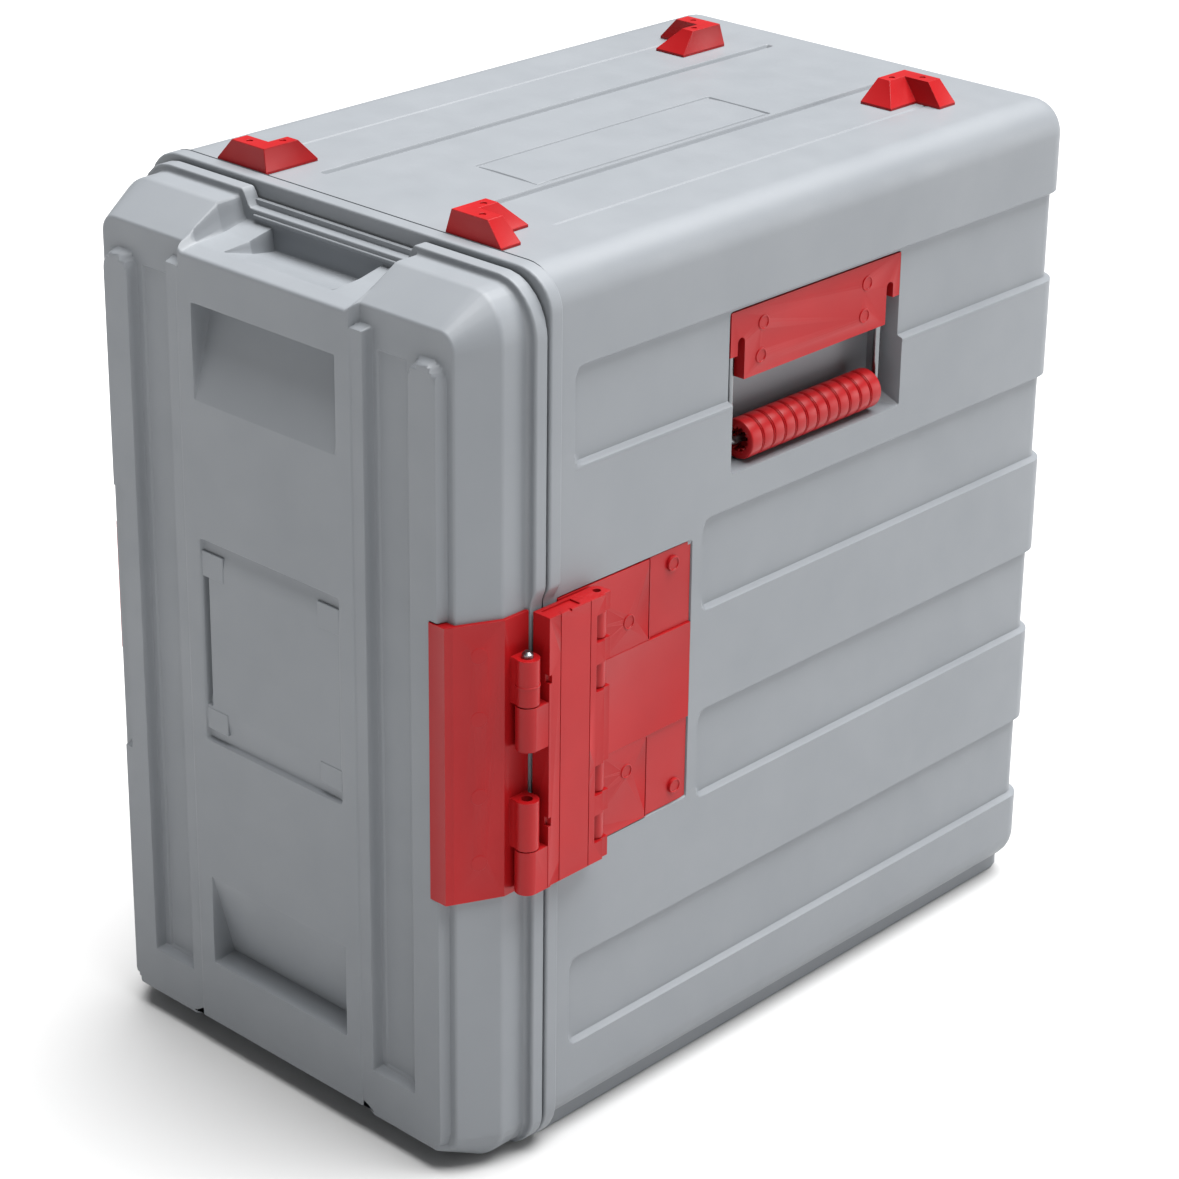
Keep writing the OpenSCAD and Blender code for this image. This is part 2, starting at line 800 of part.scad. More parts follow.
module handle_plate_blank() {
  y0 = handle_y - handle_half + slack;
  y1 = handle_y + handle_half - slack;
  difference() {
    union() {
      box([side_x - cover_t, side_x], [y0, y1], [slot_z, plate_top]);
      box([side_x - lip_t, side_x], [y0 + main_in, y1 - main_in], [main_z, plate_top]);
      box([plate_back, side_x], [y0 + main_in, y1 - main_in], [handle_step_z + 1, plate_top]);
      for (y = [[y0, y0 + ear_w], [y1 - ear_w, y1]]) box([plate_back, side_x], y, [ear_z, plate_top]);
    }
    for (y = [y0 + slot_in, y1 - slot_in]) {
      box([side_x - 40, side_x + over], [y - slot_r, y + slot_r], [main_z - 10, slot_z]);
      along_x(side_x - 40, side_x + over, y, slot_z, slot_r);
    }
    for (y = [y0 - over, y1 - ear_w - 0.5]) {
      translate([bail_x, y, bail_z]) rotate([-90, 0, 0]) cylinder(h = ear_w + 1.5, r = wire_r + fit);
    }
    for (m = handle_marks) rivet_hole(m[0], m[1], side_x, 40);
  }
}

module handle_plate_right() {
  color(red) at_rim() handle_plate_blank();
}

module handle_plate_left() {
  color(red) at_rim() mirror([1, 0, 0]) handle_plate_blank();
}

module handle_plate_rivets() {
  color(red) at_rim() both_sides() for (m = handle_marks) rivet(m[0], m[1], side_x, 28);
}

// Quarter bend of the wire in the plane of the legs, from +Z round to +Y
module wire_bend(r) {
  rotate([0, -90, 0]) rotate_extrude(angle = 90) translate([r, 0]) circle(wire_r);
}

module bail() {
  leg = bail_w / 2;
  low = grip_z + bend_r;
  high = bail_z - end_bend_r;
  ear = leg + end_bend_r;
  translate([bail_x, handle_y, 0]) {
    for (s = [0, 1]) mirror([0, s, 0]) {
      translate([0, leg, low]) cylinder(h = high - low, r = wire_r);
      translate([0, leg - bend_r, low]) rotate([-90, 0, 0]) wire_bend(bend_r);
      translate([0, ear, high]) rotate([90, 0, 0]) wire_bend(end_bend_r);
      translate([0, ear, bail_z]) rotate([-90, 0, 0]) cylinder(h = handle_half - 0.5 - ear, r = wire_r);
    }
    translate([0, -leg + bend_r, grip_z]) rotate([-90, 0, 0]) cylinder(h = 2 * (leg - bend_r), r = wire_r);
  }
}

module handle_bail_right() {
  color(steel) at_rim() bail();
}

module handle_bail_left() {
  color(steel) at_rim() mirror([1, 0, 0]) bail();
}

module grip() {
  pitch = 2 * grip_half / grip_ribs;
  translate([bail_x, handle_y - grip_half, grip_z]) rotate([-90, 0, 0]) difference() {
    union() {
      cylinder(h = 2 * grip_half, r = grip_d / 2 - rib_out);
      for (i = [0:grip_ribs - 1]) {
        translate([0, 0, i * pitch + rib_gap]) cylinder(h = pitch - 2 * rib_gap, r = grip_d / 2);
      }
    }
    translate([0, 0, -over]) cylinder(h = 2 * grip_half + 2 * over, r = wire_r + fit);
    for (z = [-over, 2 * grip_half - grip_socket]) {
      translate([0, 0, z]) cylinder(h = grip_socket + over, r = grip_socket_r);
    }
  }
}

module handle_grip_right() {
  color(red) at_rim() grip();
}

module handle_grip_left() {
  color(red) at_rim() mirror([1, 0, 0]) grip();
}

// ---------- stacking lugs ----------

// One sloping arm of a lug, x by y at its foot, whose inner end leans in by lean along the depth
module lug_block(x, y, lean) {
  hull() {
    box([lug_x, lug_x + x], [0, y], [body_h, body_h + 2]);
    box([lug_x + lug_slope[0], lug_x + x - lug_slope[1]], [lug_lean[0], y - lean],
        [body_h + lug_h - 0.1, body_h + lug_h]);
  }
}

module lug() {
  difference() {
    union() {
      lug_block(lug_len[0], lug_arm, lug_lean[1]);
      lug_block(lug_arm + 11, lug_len[1], lug_lean[2]);
    }
    for (m = lug_marks) translate([m[0], m[1], body_h - 1]) cylinder(h = lug_h + 2, r = shank_r + fit);
  }
}

module stacking_lug_front_right() {
  color(red) at_rim() lug_at(false) lug();
}

module stacking_lug_front_left() {
  color(red) at_rim() mirror([1, 0, 0]) lug_at(false) lug();
}

module stacking_lug_back_right() {
  color(red) at_rim() lug_at(true) lug();
}

module stacking_lug_back_left() {
  color(red) at_rim() mirror([1, 0, 0]) lug_at(true) lug();
}

module stacking_lug_rivets() {
  color(red) at_rim() both_sides() for (back = [false, true]) lug_at(back) for (m = lug_marks) {
    translate([m[0], m[1], body_h]) cylinder(h = lug_h - 1, r = shank_r);
  }
}

// ---------- assembly ----------

body_outer_shell();
body_inner_liner();
body_insulation();
hinge_body_plate();
hinge_plate_rivets();
hinge_rear_pin();
hinge_link();
hinge_lift_off_pins();
latch_body_plate();
latch_plate_rivets();
latch_lever();
latch_lever_pin();
latch_hook();
latch_hook_pin();
door_outer_shell();
door_inner_shell();
door_insulation();
door_seal();
door_hinge_bracket();
door_latch_bracket();
door_bracket_rivets();
card_holder();
handle_plate_right();
handle_plate_left();
handle_plate_rivets();
handle_bail_right();
handle_bail_left();
handle_grip_right();
handle_grip_left();
stacking_lug_front_right();
stacking_lug_front_left();
stacking_lug_back_right();
stacking_lug_back_left();
stacking_lug_rivets();
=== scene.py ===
import itertools
import math

import bmesh
import bpy
import numpy as np
from mathutils import Matrix, Vector
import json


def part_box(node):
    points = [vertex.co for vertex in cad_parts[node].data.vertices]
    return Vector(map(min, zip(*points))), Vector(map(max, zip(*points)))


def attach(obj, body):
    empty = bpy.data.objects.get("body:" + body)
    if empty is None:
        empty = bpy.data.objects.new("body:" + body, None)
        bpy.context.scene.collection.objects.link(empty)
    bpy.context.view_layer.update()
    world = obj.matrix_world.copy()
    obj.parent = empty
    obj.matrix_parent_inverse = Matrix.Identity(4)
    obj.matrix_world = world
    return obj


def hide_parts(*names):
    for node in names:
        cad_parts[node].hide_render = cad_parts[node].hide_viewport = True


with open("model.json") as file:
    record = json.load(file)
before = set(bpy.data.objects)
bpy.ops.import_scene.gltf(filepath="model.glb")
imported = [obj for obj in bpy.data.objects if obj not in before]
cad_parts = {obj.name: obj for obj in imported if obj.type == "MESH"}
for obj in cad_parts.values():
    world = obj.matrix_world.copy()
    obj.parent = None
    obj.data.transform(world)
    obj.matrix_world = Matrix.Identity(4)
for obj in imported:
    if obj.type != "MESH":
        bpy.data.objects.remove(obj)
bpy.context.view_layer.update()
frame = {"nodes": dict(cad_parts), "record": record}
nodes = frame["nodes"]

# Shapes are worked out in millimetres, with +X and +Z as in the frame.
# Depth is counted from the front rim's face.
MM = 0.001
RIM_LO, RIM_HI = (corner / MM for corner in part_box("body_outer_shell"))
FRONT_Y = RIM_LO.y
DEPTH = RIM_HI.y - RIM_LO.y
RIM_X = RIM_HI.x
FLANGE_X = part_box("door_outer_shell")[1].x / MM
DOOR_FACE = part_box("door_outer_shell")[0].y / MM - FRONT_Y       # the raised panels
PLATE_LO, PLATE_HI = (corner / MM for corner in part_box("hinge_body_plate"))
BRACKET_LO, BRACKET_HI = (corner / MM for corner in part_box("door_hinge_bracket"))
SIDE_X = (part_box("handle_plate_right")[1] / MM).x                # the side walls
TOP_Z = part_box("stacking_lug_front_right")[0].z / MM


# ---------- slopes, grid lines and profiles ----------

# A slope is a (place, half width) pair: the shape rises across it, and the grid gathers its lines there.
SLOPE_LINES = (-1.02, -0.55, 0, 0.55, 1.02)      # the grid lines of a slope, in half widths from its place
NARROWEST = 0.2                                  # grid lines closer than this are left out


def ramp(value, edge, half):
    """0 below the edge, 1 above it, with a smooth rise half to each side."""
    t = np.clip((value - edge) / (2 * half) + 0.5, 0, 1)
    return t * t * (3 - 2 * t)


def window(value, low, high, half):
    """1 between low and high, with a smooth rise at both."""
    return ramp(value, low, half) * (1 - ramp(value, high, half))


def patch(u, v, u_span, v_span, radius, half):
    """1 inside a rounded rectangle, 0 outside, with a smooth edge."""
    mid_u, mid_v = sum(u_span) / 2, sum(v_span) / 2
    du = np.abs(u - mid_u) - (u_span[1] - u_span[0]) / 2 + radius
    dv = np.abs(v - mid_v) - (v_span[1] - v_span[0]) / 2 + radius
    outside = np.hypot(np.maximum(du, 0), np.maximum(dv, 0))
    distance = outside + np.minimum(np.maximum(du, dv), 0) - radius
    return ramp(-distance, 0, half)


def both_ends(span, half):
    """The slopes at the two ends of a span."""
    return [(place, half) for place in span]


def both_sides(slopes):
    """The slopes and their mirror images."""
    return slopes + [(-place, half) for place, half in slopes]


def grid_lines(low, high, step, slopes):
    """Grid lines from low to high, about step apart and close together across each slope."""
    stops = [low]
    for place, half in slopes:
        stops += [place + half * f for f in SLOPE_LINES]
    stops = sorted(stop for stop in stops + [high] if low <= stop <= high)
    lines = [low]
    for stop in stops[1:]:
        gap = stop - lines[-1]
        if gap < NARROWEST and stop != high:
            continue
        start, count = lines[-1], max(1, round(gap / step))
        lines += [start + gap * (i + 1) / count for i in range(count)]
    return np.array(lines)


def rounded_line(points, samples=5):
    """Points of a line whose corners (u, v, reach) are rounded: the same number of points for each corner."""
    out = []
    for i, (u, v, reach) in enumerate(points):
        here = np.array([u, v], float)
        if i in (0, len(points) - 1):
            out.append(here)
            continue
        before = np.array(points[i - 1][:2]) - here
        after = np.array(points[i + 1][:2]) - here
        a = here + before / max(np.linalg.norm(before), 1e-6) * reach
        b = here + after / max(np.linalg.norm(after), 1e-6) * reach
        for t in np.linspace(0, 1, samples):
            out.append((1 - t) ** 2 * a + 2 * t * (1 - t) * here + t * t * b)
    return np.array(out)


class Pan:
    """An end face of grid lines in X and Z with rounded corners, and rings carried on from its border."""

    def __init__(self, xs, zs, radius):
        x, z = np.meshgrid(xs, zs, indexing="ij")
        self.x_half, self.radius = xs[-1], radius
        self.z_low, self.z_high = zs[0], zs[-1]
        a = np.clip((np.abs(x) - (xs[-1] - radius)) / radius, 0, 1)
        up = np.clip((z - (zs[-1] - radius)) / radius, 0, 1)
        down = np.clip(((zs[0] + radius) - z) / radius, 0, 1)
        b = up + down
        corner = (a > 0) & (b > 0)
        nx = np.sign(x) * a * np.sqrt(1 - b * b / 2)
        nz = (np.sign(up - down)) * b * np.sqrt(1 - a * a / 2)
        centre_z = np.where(up > 0, zs[-1] - radius, zs[0] + radius)
        self.x = np.where(corner, np.sign(x) * (xs[-1] - radius) + radius * nx, x)
        self.z = np.where(corner, centre_z + radius * nz, z)
        index = np.arange(x.size).reshape(x.shape)
        self.border = np.concatenate([index[:-1, 0], index[-1, :-1], index[:0:-1, -1], index[0, :0:-1]])
        at_border = lambda array: array.ravel()[self.border]
        self.in_corner = at_border(corner)
        border_x, border_z = at_border(x), at_border(z)
        on_side = np.isclose(np.abs(border_x), xs[-1])
        side_nx = np.where(on_side, np.sign(border_x), 0.0)
        side_nz = np.where(on_side, 0.0, np.sign(border_z - zs.mean()))
        self.nx = np.where(self.in_corner, at_border(nx), side_nx)
        self.nz = np.where(self.in_corner, at_border(nz), side_nz)
        self.bx, self.bz = at_border(self.x), at_border(self.z)
        corners = (index[:-1, :-1], index[1:, :-1], index[1:, 1:], index[:-1, 1:])
        self.quads = np.stack(corners, -1).reshape(-1, 4)

    def ring(self, dx, dz_top, dz_bottom):
        """The border moved outwards by dx at the sides, dz_top at the top and dz_bottom at the bottom."""
        dz = np.where(self.nz > 0, dz_top, dz_bottom)
        return self.bx + self.nx * dx, self.bz + self.nz * dz

    def outline(self, x_half, z_low, z_high, radius):
        """The border stretched onto another rounded rectangle."""
        keep = self.x_half - self.radius
        x = self.bx * (x_half - radius) / keep
        t = (self.bz - self.z_low - self.radius) / (self.z_high - self.z_low - 2 * self.radius)
        z = z_low + radius + t * (z_high - z_low - 2 * radius)
        corner_z = np.where(self.nz > 0, z_high - radius, z_low + radius)
        x = np.where(self.in_corner, np.sign(self.nx) * (x_half - radius), x)
        z = np.where(self.in_corner, corner_z, z)
        return x + self.nx * radius, z + self.nz * radius

    def turned(self, at_sides, at_top, at_bottom):
        """One value round the border: at_sides beside it, and at_top and at_bottom above and below it."""
        return at_sides * self.nx ** 2 + np.where(self.nz > 0, at_top, at_bottom) * self.nz ** 2

    def dipped(self, x, z):
        """The ring's x, drawn in to DIP_X beside the hinge and the latch."""
        cut = ramp(np.abs(x), DIP_X + 0.01, 0.01) * window(z, *DIP_Z, DIP_HALF) * (np.abs(self.nx) > 0.5)
        return x - np.sign(x) * (np.abs(x) - DIP_X) * cut

    def build(self, name, face_y, rings, outward):
        """The mesh of the end face at face_y and the rings (x, y, z), closed by one flat face at the end."""
        points = [np.stack([self.x.ravel(), face_y.ravel(), self.z.ravel()], 1)]
        points += [np.stack(ring, 1) for ring in rings]
        count, first = len(self.border), self.x.size
        loops = [self.border] + [first + k * count + np.arange(count) for k in range(len(rings))]
        quads = [self.quads]
        for inner, outer in zip(loops, loops[1:]):
            quads.append(np.stack([inner, outer, np.roll(outer, -1), np.roll(inner, -1)], 1))
        faces = np.concatenate(quads)
        cap = loops[-1][::-1]
        if outward > 0:
            faces, cap = faces[:, ::-1], cap[::-1]
        return mesh_object(name, np.concatenate(points), faces.tolist() + [cap.tolist()])


def mesh_object(name, points, faces):
    """A smooth-shaded object from points in the working millimetres."""
    points = (np.asarray(points) + [0, FRONT_Y, 0]) * MM
    mesh = bpy.data.meshes.new(name)
    mesh.from_pydata(points.tolist(), [], faces)
    mesh.validate()
    mesh.shade_smooth()
    obj = bpy.data.objects.new(name, mesh)
    bpy.context.scene.collection.objects.link(obj)
    return obj


# ---------- materials ----------

def new_material(name, color, roughness, metallic=0.0):
    """A plain material, its node tree and its shader."""
    material = bpy.data.materials.new(name)
    material.use_nodes = True
    shader = material.node_tree.nodes["Principled BSDF"]
    shader.inputs["Base Color"].default_value = (*color, 1)
    shader.inputs["Roughness"].default_value = roughness
    shader.inputs["Metallic"].default_value = metallic
    return material, material.node_tree, shader


def noise(tree, scale, detail, stretch=(1, 1, 1)):
    """A noise texture in object space, scale features a metre."""
    coordinates = tree.nodes.new("ShaderNodeTexCoord")
    mapping = tree.nodes.new("ShaderNodeMapping")
    mapping.inputs["Scale"].default_value = stretch
    texture = tree.nodes.new("ShaderNodeTexNoise")
    texture.inputs["Scale"].default_value = scale
    texture.inputs["Detail"].default_value = detail
    tree.links.new(coordinates.outputs["Object"], mapping.inputs["Vector"])
    tree.links.new(mapping.outputs["Vector"], texture.inputs["Vector"])
    return texture.outputs["Fac"]


def remap(tree, value, start, end, low, high):
    """The value's stretch from start to end, spread over low to high."""
    node = tree.nodes.new("ShaderNodeMapRange")
    node.inputs["From Min"].default_value = start
    node.inputs["From Max"].default_value = end
    node.inputs["To Min"].default_value = low
    node.inputs["To Max"].default_value = high
    tree.links.new(value, node.inputs["Value"])
    return node.outputs["Result"]


def mixed(tree, factor, first, second):
    """A colour between first and second."""
    node = tree.nodes.new("ShaderNodeMix")
    node.data_type = "RGBA"
    node.inputs["A"].default_value = (*first, 1)
    node.inputs["B"].default_value = (*second, 1)
    tree.links.new(factor, node.inputs["Factor"])
    return node.outputs["Result"]


def bumped(tree, shader, height, strength, distance):
    """Fine relief on the shader from a height."""
    node = tree.nodes.new("ShaderNodeBump")
    node.inputs["Strength"].default_value = strength
    node.inputs["Distance"].default_value = distance
    tree.links.new(height, node.inputs["Height"])
    tree.links.new(node.outputs["Normal"], shader.inputs["Normal"])


def moulded_plastic(name, color, dark, roughness, grain, specular=0.5):
    """Moulded plastic: cloudy tone, fine grain and a gloss that varies over the surface."""
    material, tree, shader = new_material(name, color, roughness)
    shader.inputs["Specular IOR Level"].default_value = specular
    cloud = remap(tree, noise(tree, scale=9, detail=4), start=0.35, end=0.65, low=0, high=1)
    tree.links.new(mixed(tree, cloud, dark, color), shader.inputs["Base Color"])
    smears = noise(tree, scale=34, detail=5)
    polish = remap(tree, smears, start=0.3, end=0.7, low=roughness - 0.05, high=roughness + 0.06)
    tree.links.new(polish, shader.inputs["Roughness"])
    bumped(tree, shader, noise(tree, grain, detail=3), strength=0.22, distance=0.00012)
    return material


def drawn_steel(name, color, dark, pale):
    """Drawn stainless wire: fine streaks and a slightly uneven polish."""
    material, tree, shader = new_material(name, color, roughness=0.3, metallic=1.0)
    streaks = noise(tree, scale=260, detail=3, stretch=(1, 1, 0.08))
    polish = remap(tree, streaks, start=0.3, end=0.7, low=0.2, high=0.42)
    tree.links.new(polish, shader.inputs["Roughness"])
    tone = mixed(tree, noise(tree, scale=60, detail=3), dark, pale)
    tree.links.new(tone, shader.inputs["Base Color"])
    bumped(tree, shader, streaks, strength=0.15, distance=0.00005)
    return material


GREY = moulded_plastic("grey_shell_plastic", (0.222, 0.236, 0.253), (0.210, 0.224, 0.241), 0.46, 2600, 0.35)
PALE = moulded_plastic("inner_shell_plastic", (0.40, 0.42, 0.44), (0.37, 0.39, 0.41), 0.4, 2600)
RED = moulded_plastic("red_fitting_plastic", (0.36, 0.007, 0.009), (0.31, 0.005, 0.007), 0.36, 2200, 0.24)
SEAL = moulded_plastic("seal_elastomer", (0.035, 0.036, 0.038), (0.028, 0.029, 0.03), 0.6, 3000)
FOAM = moulded_plastic("hidden_foam", (0.72, 0.62, 0.40), (0.62, 0.53, 0.33), 0.8, 900)
STEEL = drawn_steel("drawn_steel", (0.22, 0.23, 0.24), (0.16, 0.17, 0.18), (0.28, 0.29, 0.30))
BY_SLOT = {"grey_shell": GREY, "inner_shell": PALE, "red_fittings": RED, "steel": STEEL, "seal": SEAL,
           "foam": FOAM}
SLOT_OF_NODE = {part["node"]: part["material_slot"] for part in frame["record"]["subparts"]}
BODY_OF_NODE = {n: body for body, members in frame["record"]["behaviour"]["bodies"].items() for n in members}


def dress(obj, slot):
    """Gives the object its slot's material."""
    obj.data.materials.clear()
    obj.data.materials.append(BY_SLOT[slot])
    return obj


# ---------- the door's moulded shell ----------

STEP = 1.6                              # half the width of the slopes beside the raised parts
RAISE = 8                               # how far the raised parts stand out
FACE_Y = DOOR_FACE + RAISE
FOLD_X, FOLD_Z = 187, (20, 675)         # where the front face folds back, at the sides and at bottom and top
INSET = 4                               # the end face stops this far inside the fold
BLOCK_X, BLOCK_Z = 203, (3, 697)        # the thick block behind the folds
BELOW, ABOVE = -60, 900                 # well past the carrier's ends
PANEL_X, PANEL_TOP = 106, 660
CROWN_X, CROWN_Z, CROWN_HALF = 93, 600, 2.5
RIB_X, RIB_TOP, RIB_R = (149, 179), 652, 15
FOOT_TOP, FOOT_R = 62, 14
CHANNEL_X, CHANNEL_Z = (112, 141), (FOOT_TOP + 3, 645)
CHANNEL_DEPTH, CHANNEL_HALF = 1.3, 1
CREST_X, CREST_HEIGHT, CREST_HALF = 93, 0.7, 0.7                 # the panel's middle stands slightly proud
CREST_FADE = (640, 20)
POCKET_X, POCKET_DEPTH, POCKET_HALF = 76, 20, 1.0
UPPER_POCKET, LOWER_POCKET = (558, 633), (81, 157)
UPPER_BRIM, LOWER_BRIM = (UPPER_POCKET[1], 1.2), (LOWER_POCKET[0], 2.2)
CARD_Z, CARD_R, CARD_DEPTH, CARD_HALF = (279, 446), 3, 1.4, 1.3
STRIP_DEPTH = 2.4                       # the card recess is deeper along its lower and upper end
LOWER_STRIP, UPPER_STRIP = (CARD_Z[0] + 13.5, 13.5), (CARD_Z[1] - 10, 10)
SLOT_X, SLOT_Z = (-POCKET_X + 1, -POCKET_X + 6.5), (CARD_Z[0] + 29, CARD_Z[1] - 23)
SLOT_R, SLOT_DEPTH, SLOT_HALF = 2, 5, 0.6
BED_Z, BED_HALF = (BRACKET_LO.z - 0.5, BRACKET_HI.z + 0.5), 0.5  # the ribs stop at the hinge bracket
NOTCH_X, NOTCH_HALF, NOTCH_Z = 91, 4, 666                        # the notch between the door's shoulders
NOTCH_FADE_Z = 640
FINGER_X, FINGER_HALF, FINGER_DEPTH, FINGER_Y = 57, 1.4, 17, (-61, -14)
FOOT_GAP_X, FOOT_GAP = 100, 6           # the block's underside is lifted in the middle
SEAT_X, BACK_EDGE_R = 190, 20           # the flange's back ends here, on a rounded rectangle
DIP_X, DIP_HALF = 206.6, 7              # door and rim are drawn in to here beside the hinge and the latch
DIP_Z = (PLATE_LO.z - 9, PLATE_HI.z + 9)

DOOR_X_SLOPES = both_sides(both_ends(CHANNEL_X, CHANNEL_HALF) + both_ends(RIB_X, STEP) + [
    (NOTCH_X, NOTCH_HALF), (NOTCH_X - 8, 3), (PANEL_X, STEP), (FINGER_X, FINGER_HALF),
    (POCKET_X, POCKET_HALF), (CREST_X, CREST_HALF), (BRACKET_LO.x, BED_HALF),
    (RIB_X[1] - FOOT_R, 12), (RIB_X[1] - 5, 5)])
DOOR_X_SLOPES += both_ends(SLOT_X, SLOT_HALF)
DOOR_Z_SLOPES = (
    both_ends(CHANNEL_Z, CHANNEL_HALF) + both_ends(CARD_Z, CARD_HALF) + both_ends(SLOT_Z, SLOT_HALF)
    + both_ends(BED_Z, BED_HALF) + both_ends(DIP_Z, DIP_HALF)
    + [(FOLD_Z[0] + 6, 6), (FOLD_Z[0] + INSET + 5, 5), (FOLD_Z[0] + FOOT_R, 2), (FOOT_TOP, STEP), LOWER_BRIM,
       (LOWER_POCKET[1], 1), LOWER_STRIP, UPPER_STRIP, (UPPER_POCKET[0], 1), UPPER_BRIM, (RIB_TOP - 11, 8),
       (RIB_TOP, STEP), (PANEL_TOP, STEP), (FOLD_Z[1] - INSET - 5, 5)])


def door_raise(x, z):
    """1 where the front face is raised: the centre panel, the ribs beside the channels, and the foot."""
    ax = np.abs(x)
    panel = window(x, -PANEL_X, PANEL_X, STEP) * (1 - ramp(z, PANEL_TOP, STEP))
    crown = window(x, -CROWN_X, CROWN_X, CROWN_HALF) * ramp(z, CROWN_Z, STEP)
    bed = ramp(ax, BRACKET_LO.x, BED_HALF) * window(z, *BED_Z, BED_HALF)
    rib = patch(ax, z, RIB_X, (BELOW, RIB_TOP), RIB_R, STEP) * (1 - bed)
    whole_x = (-RIB_X[1], RIB_X[1])
    foot = patch(x, z, whole_x, (BELOW, FOOT_TOP), 0.5, STEP)
    rounded = patch(ax, z, whole_x, (FOLD_Z[0], ABOVE), FOOT_R, STEP)
    outer_corner = 1 - (1 - rounded) * (1 - ramp(z, FOLD_Z[0] + FOOT_R, 0.1))
    return np.maximum.reduce([panel, crown, rib, foot]) * outer_corner


def door_face(x, z):
    """Depth of the door's front at x, z."""
    ax = np.abs(x)
    y = FACE_Y - RAISE * door_raise(x, z)
    y = y + CHANNEL_DEPTH * window(ax, *CHANNEL_X, CHANNEL_HALF) * window(z, *CHANNEL_Z, CHANNEL_HALF)
    y = y - CREST_HEIGHT * (1 - ramp(ax, CREST_X, CREST_HALF)) * (1 - ramp(z, *CREST_FADE))
    inside = 1 - ramp(ax, POCKET_X, POCKET_HALF)
    upper = np.clip((z - UPPER_POCKET[0]) / (UPPER_POCKET[1] - UPPER_POCKET[0]), 0, 1)
    lower = np.clip((LOWER_POCKET[1] - z) / (LOWER_POCKET[1] - LOWER_POCKET[0]), 0, 1)
    y = y + POCKET_DEPTH * inside * upper * (1 - ramp(z, *UPPER_BRIM))
    y = y + POCKET_DEPTH * inside * lower * ramp(z, *LOWER_BRIM)
    card = patch(x, z, (-POCKET_X, POCKET_X), CARD_Z, CARD_R, CARD_HALF)
    strips = (1 - ramp(z, *LOWER_STRIP)) + ramp(z, *UPPER_STRIP)
    slot = patch(x, z, SLOT_X, SLOT_Z, SLOT_R, SLOT_HALF)
    return y + card * (CARD_DEPTH + STRIP_DEPTH * strips) + SLOT_DEPTH * slot


def door_outlines(x_end, z_low, z_high):
    """The way back from the front face, as lines of (x or z, depth) at the sides, top, notch and bottom."""
    edge, back = -1.5, -5               # the flange's back, and the depth where the shell ends
    flange = edge - 11.5                # the flange's front
    neck = -25                          # the block runs straight from here to the flange
    lip_x = 207.6                       # the flange's front edge starts to round off here
    side = [(x_end, FACE_Y, 0), (FOLD_X, FACE_Y, 1.8), (191.5, -60, 1.5), (BLOCK_X, -37, 2.2),
            (BLOCK_X, neck, 1.5), (BLOCK_X, flange, 3.5), (lip_x, flange, 1),
            (FLANGE_X, flange, 2.4), (FLANGE_X, edge, 1.2), (SEAT_X, edge, 1), (SEAT_X, back, 0)]
    top = [(z_high, FACE_Y, 0), (FOLD_Z[1], FACE_Y, 1.8), (682, -58, 1.5), (BLOCK_Z[1], -34, 2.4),
           (BLOCK_Z[1], neck, 1.5), (BLOCK_Z[1], flange, 2.6), (700.4, flange, 0.8), (703, flange, 1.6),
           (703, edge, 1.2), (684.5, edge, 1), (684.5, back, 0)]
    notch = [(NOTCH_Z, FACE_Y, 0), (670, FACE_Y, 2.4), (673, -58, 1.5), (675.5, -34, 2),
             (677.5, neck, 1.5), (680, flange, 1.6), (685, flange, 1.4), (690, flange, 1.4),
             (690, edge, 1.2), (684.5, edge, 1), (684.5, back, 0)]
    bottom = [(z_low, FACE_Y, 0), (FOLD_Z[0], FACE_Y, 2.6), (14, -60, 1.5), (BLOCK_Z[0], -42, 4),
              (BLOCK_Z[0], neck, 1.5), (BLOCK_Z[0], flange, 0.3), (2.4, flange, 0.2), (2, flange, 0.2),
              (2, edge, 1.2), (29.5, edge, 1), (29.5, back, 0)]
    return [rounded_line(points) for points in (side, top, notch, bottom)]


